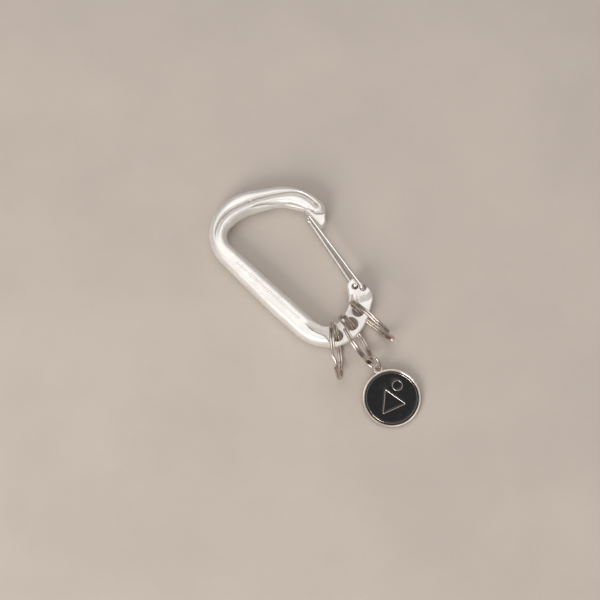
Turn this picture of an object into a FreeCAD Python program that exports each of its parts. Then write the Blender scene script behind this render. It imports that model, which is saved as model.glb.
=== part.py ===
"""Wire-gate carabiner with three split rings and an enamelled charm.

Millimetres.  The origin is the middle of the flat land under the spine,
+Y runs along the spine to the nose end, +X across the basket to the gate
and +Z is up, so that the keyring lies on the plane z = 0.
"""
import FreeCAD
import Part
import Sketcher

import math
import os

from FreeCAD import Placement, Rotation, Vector

# ---------------------------------------------------------------- sizes ----
# A size that starts with "=" follows another one.
SIZES = {
    # carabiner body: reach of the outline from the origin
    "crown_y": 42.1,            # top of the nose-end bow
    "foot_depth": 40.3,         # bottom of the ring-end bow
    "nose_out": 45.9,           # outside of the nose
    "hinge_out": 31.7,          # outside of the hinge tongue
    "body_thickness": 9.0,
    "edge_radius": "=nose_out * 0.0545",    # rounding of the forged bar
    # outline corners, each a place and a rounding radius
    "nose_tip_drop": 38.7,
    "nose_tip_inset": 9.0,
    "nose_toe_inset": 5.9,
    "nose_toe_radius": 3.0,
    "nose_cheek_drop": 32.8,
    "nose_cheek_radius": 5.5,
    "nose_shoulder_drop": 17.6,
    "nose_shoulder_radius": 24.6,
    "crown_right_inset": "=nose_out * 0.5185",
    "crown_right_radius": "=nose_out * 0.48",
    "crown_left_out": 3.0,
    "crown_left_radius": "=nose_out * 0.388",
    "belly_out": 5.1,
    "belly_drop": 4.0,
    "belly_radius": 80.0,
    "heel_out": 4.8,
    "heel_rise": 11.9,
    "heel_radius": 22.0,
    "foot_left_x": 5.2,
    "foot_left_radius": 15.5,
    "foot_right_x": 18.4,
    "foot_right_radius": 22.0,
    "hinge_low_rise": 7.1,
    "hinge_low_radius": 6.0,
    "hinge_tip_rise": 18.7,
    "hinge_tip_inset": 0.7,
    "hinge_back_inset": 5.7,
    "hinge_back_radius": 3.0,
    "hinge_neck_inset": 11.2,
    "hinge_neck_rise": 11.2,
    "hinge_neck_radius": 11.0,
    "basket_foot_x": 4.9,
    "basket_foot_rise": 8.3,
    "basket_foot_radius": 7.0,
    "basket_head_x": 4.5,
    "basket_head_drop": 9.5,
    "basket_head_radius": "=nose_out * 0.13",
    "basket_crown_inset": "=nose_out * 0.6144",
    "basket_crown_drop": 9.8,
    "basket_crown_radius": "=nose_out * 0.436",
    "basket_nose_inset": "=nose_out * 0.292",
    "basket_nose_drop": 18.35,
    "basket_nose_radius": 16.0,
    "nose_root_inset": 8.0,
    "nose_root_drop": 28.0,
    # groove along the bow, a narrow crescent in both faces
    "groove_depth": 0.8,
    "groove_width": 1.4,
    "groove_start_x": 0.6,
    "groove_start_drop": 13.6,
    "groove_left_x": 1.6,
    "groove_left_radius": "=nose_out * 0.204",
    "groove_top_drop": 4.9,
    "groove_right_x": "=nose_out * 0.414",
    "groove_right_radius": "=nose_out * 0.436",
    "groove_side_inset": 3.2,
    "groove_shoulder_drop": 20.3,
    "groove_shoulder_radius": 15.0,
    "groove_end_drop": 33.6,
    # tongue: the thinner hinge plate and nose, which fit between the gate legs
    "tongue_thickness": 4.8,
    "shelf_start_inset": 15.9,
    "shelf_start_drop": 17.0,
    "shelf_bend_inset": 9.6,
    "shelf_bend_drop": 22.6,
    "shelf_bend_radius": 9.0,
    "shelf_side_inset": 6.3,
    "shelf_side_drop": 31.0,
    "shelf_side_radius": 2.0,
    "shelf_toe_inset": 3.9,
    "shelf_toe_drop": 34.9,
    "shelf_toe_radius": 1.4,
    # web: the thin plate that carries the rings
    "web_thickness": 2.0,
    "ramp_top_rise": 19.3,
    "ramp_foot_rise": 11.8,
    "ramp_end_x": 12.0,
    "flange_tip_x": -0.3,
    "flange_bend_x": -0.2,
    "flange_bend_rise": 13.8,
    "flange_bend_radius": 10.0,
    "flange_low_x": 2.5,
    "flange_low_rise": 7.6,
    "flange_low_radius": 6.0,
    "flange_end_x": 0.4,
    "flange_end_rise": 3.6,
    "step_low_x": 28.5,
    "step_low_rise": 3.0,
    "step_mid_x": 25.2,
    "step_mid_rise": 9.0,
    "step_mid_radius": 3.0,
    "step_high_x": 21.5,
    "step_high_rise": 14.5,
    # gate
    "wire_diameter": 1.7,
    "gate_gap": 0.3,            # air between a gate leg and the tongue
    "pin_bend": 1.3,            # centre-line radius where the wire turns into its hole
    "bar_bend": 1.6,            # centre-line radius at the cross-bar
    "pin_setback": 0.2,         # wire end short of the far face of the tongue
    "pin_clearance": 0.06,
    "bar_clearance": 0.2,
    "gate_swing": 30.0,         # degrees
    "pivot_inset": 3.05,
    "pivot_rise": 13.7,
    "pin_offset_x": 0.55,
    "pin_offset_y": 1.7,
    "bar_inset": 8.9,
    "bar_drop": 30.6,
    # ring holes
    "left_hole_x": 6.7,
    "left_hole_rise": 6.1,
    "middle_hole_x": 14.7,
    "middle_hole_rise": 5.1,
    "right_hole_x": 20.9,
    "right_hole_rise": 6.9,
    "hole_clearance": 0.15,
    # split rings
    "ring_diameter": 25.0,
    "ring_section": 1.4,        # radial
    "coil_thickness": 1.0,      # axial, two coils
    "coil_groove": 0.12,
    "left_heading": -131.0,     # degrees from +X, hole towards far end
    "left_lean": 9.0,
    "middle_heading": -107.0,
    "middle_lean": 18.0,
    "right_heading": -88.8,
    "right_lean": 6.0,
    # jump ring
    "jump_wire": 0.9,
    "jump_radius": "=1.95 + coil_thickness + jump_wire / 2",
    "jump_cut": 7.0,            # degrees of open gap
    "link_angle": -33.32,       # degrees round the middle ring, from its level far side
    "jump_axis_heading": -172.19,
    "jump_axis_rise": 23.09,
    "jump_off_x": -0.244,       # from the middle ring's wire to the jump ring's centre
    "jump_off_y": -1.267,
    "jump_off_z": -0.842,
    # charm
    "charm_diameter": 25.0,
    "charm_thickness": 1.8,
    "charm_heading": 68.0,      # degrees from +X, centre towards the eye
    "eye_off_x": "=-0.1138 * jump_radius",  # jump ring's centre to the eye's centre
    "eye_off_y": "=-0.9147 * jump_radius",
    "eye_off_z": "=-0.4515 * jump_radius",
    "rim_width": 1.0,
    "recess_depth": 0.5,
    "enamel_depth": 0.36,
    "line_width": 0.45,
    "border_inset": 1.9,        # rim's outside to the thin inner ring line
    "peak_radius": 5.6,         # corner radius of the triangle emblem
    "peak_x": -1.0,
    "peak_y": -1.6,
    "sun_radius": 1.9,
    "sun_x": 4.4,
    "sun_y": 3.9,
    "eye_centre": 13.9,
    "eye_outer": 2.05,
    "eye_hole": 1.25,
    "eye_thickness": 1.0,
}
TOOL_MARGIN = 6.0               # how far cutters reach past the body
SAME_PLACE = 1e-4               # two places nearer than this are one

document = FreeCAD.newDocument("carabiner_keyring")
sheet = document.addObject("Spreadsheet::Sheet", "Sizes")
for row, (alias, size) in enumerate(SIZES.items(), start=1):
    sheet.set(f"A{row}", alias)
    sheet.set(f"B{row}", str(size))
    sheet.setAlias(f"B{row}", alias)
document.recompute()


def size(name):
    """One size, read back from the sheet."""
    return float(getattr(sheet, name))


def total(text):
    """Value of a sum such as 'crown_y - nose_tip_drop'."""
    value, sign = 0.0, 1.0
    for word in text.split():
        if word in "+-":
            sign = 1.0 if word == "+" else -1.0
        else:
            value += sign * size(word)
            sign = 1.0
    return value


def bound(text):
    """The same sum as an expression on the sheet."""
    words = [word if word in "+-" else "Sizes." + word for word in text.split()]
    return " ".join(words)


# -------------------------------------------------------------- helpers ----
def rounded_outline(sketch, corners):
    """Closed outline of straight lines and tangent arcs.

    corners holds (x, y, radius) as sums of sizes; radius None is sharp.
    """
    places = [Vector(total(x), total(y), 0) for x, y, radius in corners]
    radii = [total(radius) if radius else 0.0 for x, y, radius in corners]
    count = len(corners)
    entry, leave, arcs, forward = [], [], [], []
    for index, corner in enumerate(places):
        before = (places[index - 1] - corner).normalize()
        after = (places[(index + 1) % count] - corner).normalize()
        half = before.getAngle(after) / 2
        reach = radii[index] / math.tan(half)
        entry.append(corner + before * reach)
        leave.append(corner + after * reach)
        left_turn = before.cross(after).z < 0
        forward.append(left_turn)
        arc = None
        if radii[index]:
            middle = (before + after).normalize()
            centre = corner + middle * (radii[index] / math.sin(half))
            start, stop = (entry[-1], leave[-1]) if left_turn else (leave[-1], entry[-1])
            first = math.atan2(start.y - centre.y, start.x - centre.x)
            last = math.atan2(stop.y - centre.y, stop.x - centre.x)
            circle = Part.Circle(centre, Vector(0, 0, 1), radii[index])
            arc = sketch.addGeometry(Part.ArcOfCircle(circle, first, last), False)
        arcs.append(arc)
    lines = []
    for index in range(count):
        segment = Part.LineSegment(leave[index], entry[(index + 1) % count])
        lines.append(sketch.addGeometry(segment, False))
    for index, (x, y, radius) in enumerate(corners):
        arriving, leaving = lines[index - 1], lines[index]
        if arcs[index] is None:
            sketch.addConstraint(Sketcher.Constraint("Coincident", arriving, 2, leaving, 1))
            holder, end = leaving, 1
        else:
            first, last = (1, 2) if forward[index] else (2, 1)
            arc = arcs[index]
            sketch.addConstraint(Sketcher.Constraint("Tangent", arriving, 2, arc, first))
            sketch.addConstraint(Sketcher.Constraint("Tangent", arc, last, leaving, 1))
            at = sketch.addConstraint(Sketcher.Constraint("Radius", arc, radii[index]))
            sketch.setExpression(f"Constraints[{at}]", bound(radius))
            holder, end = sketch.addGeometry(Part.Point(places[index]), True), 1
            for line in (arriving, leaving):
                sketch.addConstraint(Sketcher.Constraint("PointOnObject", holder, 1, line))
        for kind, text in (("DistanceX", x), ("DistanceY", y)):
            at = sketch.addConstraint(
                Sketcher.Constraint(kind, -1, 1, holder, end, total(text)))
            sketch.setExpression(f"Constraints[{at}]", bound(text))
    return sketch


def plane_of(body, role):
    """A body's own origin plane, found by its role."""
    return next(item for item in body.Origin.OriginFeatures if item.Role == role)


def body_sketch(body, name, role="XY_Plane"):
    """Sketch attached to one of its body's origin planes."""
    sketch = body.newObject("Sketcher::SketchObject", name)
    sketch.AttachmentSupport = [(plane_of(body, role), "")]
    sketch.MapMode = "FlatFace"
    return sketch


def plain_sketch(name, rotation=None):
    """Free sketch for a cutter."""
    sketch = document.addObject("Sketcher::SketchObject", name)
    if rotation:
        sketch.Placement = Placement(Vector(), rotation)
    return sketch


def extrusion(name, sketch, direction, low, high):
    """Solid between two distances along a direction, both sums of sizes or texts."""
    solid = document.addObject("Part::Extrusion", name)
    solid.Base = sketch
    solid.DirMode = "Custom"
    solid.Dir = direction
    solid.Solid = True
    solid.setExpression("LengthRev", low)
    solid.setExpression("LengthFwd", high)
    return solid


def cylinder(name, radius, length, x="0", y="0", z="0"):
    """Upright cylinder with every size bound."""
    solid = document.addObject("Part::Cylinder", name)
    solid.setExpression("Radius", radius)
    solid.setExpression("Height", length)
    for axis, text in zip("xyz", (x, y, z)):
        solid.setExpression(f"Placement.Base.{axis}", text)
    return solid


def joined(name, pieces):
    """Fusion of several pieces."""
    solid = document.addObject("Part::MultiFuse", name)
    solid.Shapes = pieces
    return solid


def cut(name, base, tool):
    """One piece less another."""
    solid = document.addObject("Part::Cut", name)
    solid.Base = base
    solid.Tool = tool
    return solid


def common(name, first, second):
    """What two pieces share."""
    solid = document.addObject("Part::Common", name)
    solid.Base = first
    solid.Tool = second
    return solid


MID = "Sizes.body_thickness / 2"
FACE = "Sizes.body_thickness"
REACH = f"Sizes.body_thickness + {TOOL_MARGIN}"
UP = Vector(0, 0, 1)


def above(name, sketch, level):
    """Cutter of everything over a level inside a sketch's outline."""
    return extrusion(name, sketch, UP, f"-({level})", REACH)


def below(name, sketch, level):
    """Cutter of everything under a level inside a sketch's outline."""
    return extrusion(name, sketch, UP, f"{TOOL_MARGIN}", level)


# ------------------------------------------------------- carabiner frame ----
BODY_OUTLINE = [
    ("nose_out - nose_tip_inset", "crown_y - nose_tip_drop", None),
    ("nose_out - nose_toe_inset", "crown_y - nose_tip_drop", "nose_toe_radius"),
    ("nose_out", "crown_y - nose_cheek_drop", "nose_cheek_radius"),
    ("nose_out", "crown_y - nose_shoulder_drop", "nose_shoulder_radius"),
    ("nose_out - crown_right_inset", "crown_y", "crown_right_radius"),
    ("- crown_left_out", "crown_y", "crown_left_radius"),
    ("- belly_out", "- belly_drop", "belly_radius"),
    ("- heel_out", "- foot_depth + heel_rise", "heel_radius"),
    ("foot_left_x", "- foot_depth", "foot_left_radius"),
    ("foot_right_x", "- foot_depth", "foot_right_radius"),
    ("hinge_out", "- foot_depth + hinge_low_rise", "hinge_low_radius"),
    ("hinge_out - hinge_tip_inset", "- foot_depth + hinge_tip_rise", None),
    ("hinge_out - hinge_back_inset", "- foot_depth + hinge_tip_rise", "hinge_back_radius"),
    ("hinge_out - hinge_neck_inset", "- foot_depth + hinge_neck_rise", "hinge_neck_radius"),
    ("basket_foot_x", "- foot_depth + basket_foot_rise", "basket_foot_radius"),
    ("basket_head_x", "crown_y - basket_head_drop", "basket_head_radius"),
    ("nose_out - basket_crown_inset", "crown_y - basket_crown_drop", "basket_crown_radius"),
    ("nose_out - basket_nose_inset", "crown_y - basket_nose_drop", "basket_nose_radius"),
    ("nose_out - nose_root_inset", "crown_y - nose_root_drop", None),
]


def forged_blank():
    """The C-shaped bar at full thickness, rounded all along but for the gate's mouth."""
    body = document.addObject("PartDesign::Body", "frame_blank")
    outline = rounded_outline(body_sketch(body, "frame_outline"), BODY_OUTLINE)
    pad = body.newObject("PartDesign::Pad", "frame_pad")
    pad.Profile = outline
    pad.setExpression("Length", FACE)
    document.recompute()
    root, tip = [Vector(total(x), total(y), 0)
                 for x, y, radius in (BODY_OUTLINE[-1], BODY_OUTLINE[0])]
    mouth = (root + tip) / 2
    edges = []
    for number, edge in enumerate(pad.Shape.Edges, start=1):
        middle = edge.valueAt((edge.FirstParameter + edge.LastParameter) / 2)
        in_mouth = math.hypot(middle.x - mouth.x, middle.y - mouth.y) < SAME_PLACE
        if edge.BoundBox.ZLength < SAME_PLACE and not in_mouth:
            edges.append(f"Edge{number}")
    rounding = body.newObject("PartDesign::Fillet", "frame_rounding")
    rounding.Base = (pad, edges)
    rounding.setExpression("Radius", "Sizes.edge_radius")
    body.Tip = rounding
    return body


def groove_outline(name):
    """Narrow crescent that follows the bow, pointed at the spine end."""
    half = "groove_width"
    corners = [
        ("groove_start_x", "crown_y - groove_start_drop", None),
        ("groove_left_x + " + half, "crown_y - groove_top_drop - " + half, "groove_left_radius"),
        ("groove_right_x", "crown_y - groove_top_drop - " + half, "groove_right_radius"),
        ("nose_out - groove_side_inset - " + half, "crown_y - groove_shoulder_drop - " + half,
         "groove_shoulder_radius"),
        ("nose_out - groove_side_inset - " + half, "crown_y - groove_end_drop", None),
        ("nose_out - groove_side_inset", "crown_y - groove_end_drop", None),
        ("nose_out - groove_side_inset", "crown_y - groove_shoulder_drop",
         "groove_shoulder_radius"),
        ("groove_right_x", "crown_y - groove_top_drop", "groove_right_radius"),
        ("groove_left_x", "crown_y - groove_top_drop", "groove_left_radius"),
    ]
    return rounded_outline(plain_sketch(name), corners)


def nose_shelf_outline(name):
    """Inner side and tip of the nose, thinned to fit between the gate legs."""
    shelf = plain_sketch(name)
    corners = [
        ("nose_out - shelf_start_inset", "crown_y - shelf_start_drop", None),
        ("nose_out - shelf_start_inset", "- belly_drop", None),
        ("nose_out + belly_out", "- belly_drop", None),
        ("nose_out + belly_out", "crown_y - shelf_toe_drop", None),
        ("nose_out - shelf_toe_inset", "crown_y - shelf_toe_drop", None),
        ("nose_out - shelf_side_inset", "crown_y - shelf_side_drop - shelf_toe_radius",
         "shelf_toe_radius"),
        ("nose_out - shelf_side_inset", "crown_y - shelf_side_drop", "shelf_side_radius"),
        ("nose_out - shelf_bend_inset", "crown_y - shelf_bend_drop", "shelf_bend_radius"),
    ]
    return rounded_outline(shelf, corners)


def ramp_plan_outline(name):
    """Spine side of the recess, right of the outer flange."""
    corners = [
        ("flange_tip_x", "- foot_depth + ramp_top_rise", None),
        ("flange_bend_x", "- foot_depth + flange_bend_rise", "flange_bend_radius"),
        ("flange_low_x", "- foot_depth + flange_low_rise", "flange_low_radius"),
        ("flange_end_x", "- foot_depth + flange_end_rise", None),
        ("flange_end_x", "- foot_depth - web_thickness", None),
        ("ramp_end_x", "- foot_depth - web_thickness", None),
        ("ramp_end_x", "- foot_depth + ramp_top_rise", None),
    ]
    return rounded_outline(plain_sketch(name), corners)


def web_outline(name):
    """Ring end, from the ramp to the step up to the hinge tongue."""
    corners = [
        ("ramp_end_x - web_thickness", "- foot_depth + ramp_foot_rise", None),
        ("ramp_end_x - web_thickness", "- foot_depth - web_thickness", None),
        ("step_low_x", "- foot_depth - web_thickness", None),
        ("step_low_x", "- foot_depth + step_low_rise", None),
        ("step_mid_x", "- foot_depth + step_mid_rise", "step_mid_radius"),
        ("step_high_x", "- foot_depth + step_high_rise", None),
        ("ramp_end_x - web_thickness", "- foot_depth + step_high_rise", None),
    ]
    return rounded_outline(plain_sketch(name), corners)


def tongue_outline(name):
    """Hinge end beyond the ramp, thinned to fit between the gate legs."""
    corners = [
        ("ramp_end_x", "- foot_depth - web_thickness", None),
        ("hinge_out + web_thickness", "- foot_depth - web_thickness", None),
        ("hinge_out + web_thickness", "- foot_depth + ramp_top_rise + web_thickness", None),
        ("ramp_end_x", "- foot_depth + ramp_top_rise + web_thickness", None),
    ]
    return rounded_outline(plain_sketch(name), corners)


def ramp_profile(name, face_sign):
    """Side view of the recess: a ramp down from the spine's crown to the web.

    The sketch lies in the YZ plane, and face_sign is +1 for the upper recess
    and -1 for the lower one.
    """
    sketch = plain_sketch(name, Rotation(Vector(1, 1, 1), 120))
    side = "+" if face_sign > 0 else "-"
    middle, plate = size("body_thickness") / 2, size("web_thickness") / 2
    web = (f"{MID} {side} Sizes.web_thickness / 2", middle + face_sign * plate)
    face = (f"{MID} {side} {MID}", middle + face_sign * middle)
    beyond = (f"{MID} {side} ({MID} + {TOOL_MARGIN})",
              middle + face_sign * (middle + TOOL_MARGIN))
    rows = [
        ("- foot_depth + ramp_top_rise", face),
        ("- foot_depth + ramp_foot_rise", web),
        ("- foot_depth - web_thickness", web),
        ("- foot_depth - web_thickness", beyond),
        ("- foot_depth + ramp_top_rise", beyond),
    ]
    places = [Vector(total(y), level[1], 0) for y, level in rows]
    for index, place in enumerate(places):
        sketch.addGeometry(Part.LineSegment(place, places[(index + 1) % len(places)]), False)
    for index, (y, level) in enumerate(rows):
        previous = (index - 1) % len(rows)
        sketch.addConstraint(Sketcher.Constraint("Coincident", previous, 2, index, 1))
        at = sketch.addConstraint(Sketcher.Constraint("DistanceX", -1, 1, index, 1, total(y)))
        sketch.setExpression(f"Constraints[{at}]", bound(y))
        at = sketch.addConstraint(Sketcher.Constraint("DistanceY", -1, 1, index, 1, level[1]))
        sketch.setExpression(f"Constraints[{at}]", level[0])
    return sketch


def ramp(side, face_sign):
    """Cutter of one face's recess beside the spine."""
    slab = extrusion(f"ramp_slab_{side}", ramp_profile(f"ramp_profile_{side}", face_sign),
                     Vector(1, 0, 0), f"{TOOL_MARGIN}", "Sizes.ramp_end_x")
    plan = extrusion(f"ramp_plan_{side}", ramp_plan_outline(f"ramp_sketch_{side}"),
                     UP, f"{TOOL_MARGIN} * 2", REACH)
    return common(f"ramp_recess_{side}", slab, plan)


def pin_hole_centre(sign):
    """Middle of the short arc that a wire end sweeps, as two expressions.

    sign is +1 for the front leg's end and -1 for the rear leg's.
    """
    turn = "(Sizes.gate_swing / 2 * 1 deg)"
    x, y = f"({sign} * Sizes.pin_offset_x)", f"({-sign} * Sizes.pin_offset_y)"
    across = f"({x} * cos{turn} - {y} * sin{turn}) * cos{turn}"
    along = f"({x} * sin{turn} + {y} * cos{turn}) * cos{turn}"
    pivot_x = "Sizes.hinge_out - Sizes.pivot_inset"
    pivot_y = "-Sizes.foot_depth + Sizes.pivot_rise"
    return f"{pivot_x} + {across}", f"{pivot_y} + {along}"


def ring_stance(lean):
    """How a ring stands in its hole: height, and reach from the hole to its centre."""
    outer = size("ring_diameter") / 2
    inner = outer - size("ring_section")
    tilt = math.radians(size(lean))
    height = outer * math.cos(tilt) + size("coil_thickness") * math.sin(tilt)
    middle = size("body_thickness") / 2
    plate = size("web_thickness") / 2
    twist = size("coil_thickness") * math.tan(tilt)
    upper = (height - middle - plate) / math.cos(tilt) - twist
    lower = (height - middle + plate) / math.cos(tilt) + twist
    near = math.sqrt(inner ** 2 - lower ** 2)
    far = math.sqrt(outer ** 2 - upper ** 2)
    depth = (height - middle) / math.cos(tilt)
    return {"reach": (near + far) / 2, "half_span": (far - near) / 2,
            "depth": depth, "tilt": tilt}


def hole_radius(lean):
    """Smallest hole that lets a leaning ring through the web, plus clearance."""
    stance = ring_stance(lean)
    plate = size("web_thickness") / 2
    side = size("coil_thickness") / math.cos(stance["tilt"]) + plate * math.tan(stance["tilt"])
    return math.hypot(stance["half_span"], side) + size("hole_clearance")


RINGS = {
    "left": ("left_hole_x", "left_hole_rise", "left_heading", "left_lean"),
    "middle": ("middle_hole_x", "middle_hole_rise", "middle_heading", "middle_lean"),
    "right": ("right_hole_x", "right_hole_rise", "right_heading", "right_lean"),
}


def ring_pose(place):
    """Centre of one split ring and its level, upright and axis directions."""
    x, rise, heading, lean = RINGS[place]
    stance = ring_stance(lean)
    angle = math.radians(size(heading))
    along = Vector(math.cos(angle), math.sin(angle), 0)
    across = Vector(math.sin(angle), -math.cos(angle), 0)
    upright = UP * math.cos(stance["tilt"]) + across * math.sin(stance["tilt"])
    hole = Vector(size(x), total(f"- foot_depth + {rise}"), size("body_thickness") / 2)
    centre = hole + along * stance["reach"] + upright * stance["depth"]
    return centre, along, upright, along.cross(upright)


def bar_notch():
    """Notch in the nose for the cross-bar, open the way the gate swings."""
    radius = "Sizes.wire_diameter / 2 + Sizes.bar_clearance"
    bar_x = "Sizes.nose_out - Sizes.bar_inset"
    bar_y = "Sizes.crown_y - Sizes.bar_drop"
    seat = cylinder("notch_seat", radius, REACH, bar_x, bar_y)
    mouth = document.addObject("Part::Box", "notch_mouth")
    mouth.setExpression("Length", f"({radius}) * 2")
    mouth.setExpression("Width", "Sizes.bar_inset")
    mouth.setExpression("Height", REACH)
    run = f"({bar_x} - Sizes.hinge_out + Sizes.pivot_inset)"
    rise = f"({bar_y} + Sizes.foot_depth - Sizes.pivot_rise)"
    turn = f"atan2({rise}; {run})"
    mouth.setExpression("Placement.Rotation.Angle", turn)
    mouth.setExpression("Placement.Base.x", f"{bar_x} - ({radius}) * cos({turn})")
    mouth.setExpression("Placement.Base.y", f"{bar_y} - ({radius}) * sin({turn})")
    return joined("bar_notch", [seat, mouth])


def carabiner_frame():
    """Forged bar less its grooves, shelves, web recesses and holes."""
    blank = forged_blank()
    faces = (
        ("upper", above, 1, "Sizes.body_thickness - Sizes.groove_depth",
         f"{MID} + Sizes.tongue_thickness / 2", f"{MID} + Sizes.web_thickness / 2"),
        ("lower", below, -1, "Sizes.groove_depth",
         f"{MID} - Sizes.tongue_thickness / 2", f"{MID} - Sizes.web_thickness / 2"),
    )
    cutters = [bar_notch()]
    for side, beyond, face_sign, groove, tongue, web in faces:
        cutters += [
            beyond(f"groove_{side}", groove_outline(f"groove_sketch_{side}"), groove),
            beyond(f"shelf_{side}", nose_shelf_outline(f"shelf_sketch_{side}"), tongue),
            beyond(f"tongue_{side}", tongue_outline(f"tongue_sketch_{side}"), tongue),
            beyond(f"web_{side}", web_outline(f"web_sketch_{side}"), web),
            ramp(side, face_sign),
        ]
    for place, (x, rise, heading, lean) in RINGS.items():
        hole = cylinder(f"ring_hole_{place}", f"{hole_radius(lean)}", REACH,
                        f"Sizes.{x}", f"-Sizes.foot_depth + Sizes.{rise}")
        cutters.append(hole)
    wire = "Sizes.wire_diameter / 2 + Sizes.pin_clearance"
    drift = "hypot(Sizes.pin_offset_x; Sizes.pin_offset_y) * sin(Sizes.gate_swing / 2 * 1 deg)"
    for name, sign in (("front", 1), ("rear", -1)):
        x, y = pin_hole_centre(sign)
        cutters.append(cylinder(f"pin_hole_{name}", f"{wire} + {drift}", REACH, x, y))
    frame = cut("frame", blank, joined("frame_cutters", cutters))
    frame.Label = "carabiner_frame"
    return frame


# ------------------------------------------------------------------ gate ----
def bent_wire(places, bends):
    """Centre line through places, with a tangent arc at each inner one."""
    edges = []
    start = places[0]
    for index in range(1, len(places) - 1):
        corner = places[index]
        before = (places[index - 1] - corner).normalize()
        after = (places[index + 1] - corner).normalize()
        half = before.getAngle(after) / 2
        radius = bends[index - 1]
        first = corner + before * (radius / math.tan(half))
        last = corner + after * (radius / math.tan(half))
        toward = (before + after).normalize()
        middle = corner + toward * (radius / math.sin(half) - radius)
        edges.append(Part.LineSegment(start, first).toShape())
        edges.append(Part.Arc(first, middle, last).toShape())
        start = last
    edges.append(Part.LineSegment(start, places[-1]).toShape())
    return Part.Wire(edges)


def wire_gate():
    """One spring wire: pin, leg, cross-bar, leg and pin."""
    middle = size("body_thickness") / 2
    radius = size("wire_diameter") / 2
    plate = size("tongue_thickness") / 2
    leg = plate + size("gate_gap") + radius
    pin = plate - size("pin_setback")
    pivot = Vector(total("hinge_out - pivot_inset"), total("- foot_depth + pivot_rise"), middle)
    offset = Vector(size("pin_offset_x"), -size("pin_offset_y"), 0)
    bar = Vector(total("nose_out - bar_inset"), total("crown_y - bar_drop"), middle)
    high, low = Vector(0, 0, leg), Vector(0, 0, -leg)
    front, rear = pivot + offset, pivot - offset
    places = [front - Vector(0, 0, pin), front + high, bar + high,
              bar + low, rear + low, rear + Vector(0, 0, pin)]
    path = bent_wire(places, [size("pin_bend"), size("bar_bend"), size("bar_bend"),
                              size("pin_bend")])
    section = Part.Wire(Part.Circle(places[0], UP, radius).toShape())
    gate = document.addObject("Part::Feature", "wire_gate")
    gate.Shape = path.makePipeShell([section], True, False)
    gate.Label = "wire_gate"
    return gate


# ----------------------------------------------------------------- rings ----
def split_ring(place):
    """Two flat coils turned about the ring's axis, standing in its hole."""
    body = document.addObject("PartDesign::Body", f"ring_{place}")
    sketch = body_sketch(body, f"coil_section_{place}", "XZ_Plane")
    outer, section = "Sizes.ring_diameter / 2", "Sizes.ring_section"
    coil, nick = "Sizes.coil_thickness", "Sizes.coil_groove"
    outside = size("ring_diameter") / 2
    inside = outside - size("ring_section")
    tall, notch = size("coil_thickness"), size("coil_groove")
    rows = [
        (outside, -tall, outer, f"-{coil}"),
        (outside, -notch, outer, f"-{nick}"),
        (outside - notch, 0, f"{outer} - {nick}", "0"),
        (outside, notch, outer, nick),
        (outside, tall, outer, coil),
        (inside, tall, f"{outer} - {section}", coil),
        (inside, notch, f"{outer} - {section}", nick),
        (inside + notch, 0, f"{outer} - {section} + {nick}", "0"),
        (inside, -notch, f"{outer} - {section}", f"-{nick}"),
        (inside, -tall, f"{outer} - {section}", f"-{coil}"),
    ]
    places = [Vector(radius, level, 0) for radius, level, radius_text, level_text in rows]
    for index, at in enumerate(places):
        sketch.addGeometry(Part.LineSegment(at, places[(index + 1) % len(places)]), False)
    for index, (radius, level, radius_text, level_text) in enumerate(rows):
        previous = (index - 1) % len(rows)
        sketch.addConstraint(Sketcher.Constraint("Coincident", previous, 2, index, 1))
        at = sketch.addConstraint(Sketcher.Constraint("DistanceX", -1, 1, index, 1, radius))
        sketch.setExpression(f"Constraints[{at}]", radius_text)
        if level == 0:
            sketch.addConstraint(Sketcher.Constraint("PointOnObject", index, 1, -1))
        else:
            at = sketch.addConstraint(Sketcher.Constraint("DistanceY", -1, 1, index, 1, level))
            sketch.setExpression(f"Constraints[{at}]", level_text)
    turn = body.newObject("PartDesign::Revolution", f"coils_{place}")
    turn.Profile = sketch
    turn.ReferenceAxis = (sketch, ["V_Axis"])
    turn.Angle = 360
    body.Tip = turn
    centre, along, upright, axis = ring_pose(place)
    body.Placement = Placement(centre, Rotation(along, upright, axis, "XYZ"))
    body.Label = f"split_ring_{place}"
    return body


def jump_ring_centre():
    """Middle of the jump ring, hung from the middle split ring's wire."""
    centre, along, upright, axis = ring_pose("middle")
    angle = math.radians(size("link_angle"))
    wire = size("ring_diameter") / 2 - size("ring_section") / 2
    hold = centre + along * (wire * math.cos(angle)) + upright * (wire * math.sin(angle))
    return hold + Vector(size("jump_off_x"), size("jump_off_y"), size("jump_off_z"))


def jump_ring():
    """Round wire loop, not quite closed, through the middle ring and the charm's eye."""
    ring = document.addObject("Part::Torus", "jump_ring")
    ring.setExpression("Radius1", "Sizes.jump_radius")
    ring.setExpression("Radius2", "Sizes.jump_wire / 2")
    ring.setExpression("Angle3", "360 - Sizes.jump_cut")
    heading = math.radians(size("jump_axis_heading"))
    rise = math.radians(size("jump_axis_rise"))
    axis = Vector(math.cos(heading), math.sin(heading), 0) * math.cos(rise) + UP * math.sin(rise)
    side = axis.cross(UP).normalize()
    turn = Rotation(side, axis.cross(side), axis, "XYZ")
    ring.Placement = Placement(jump_ring_centre(), turn)
    ring.Label = "jump_ring"
    return ring


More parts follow.
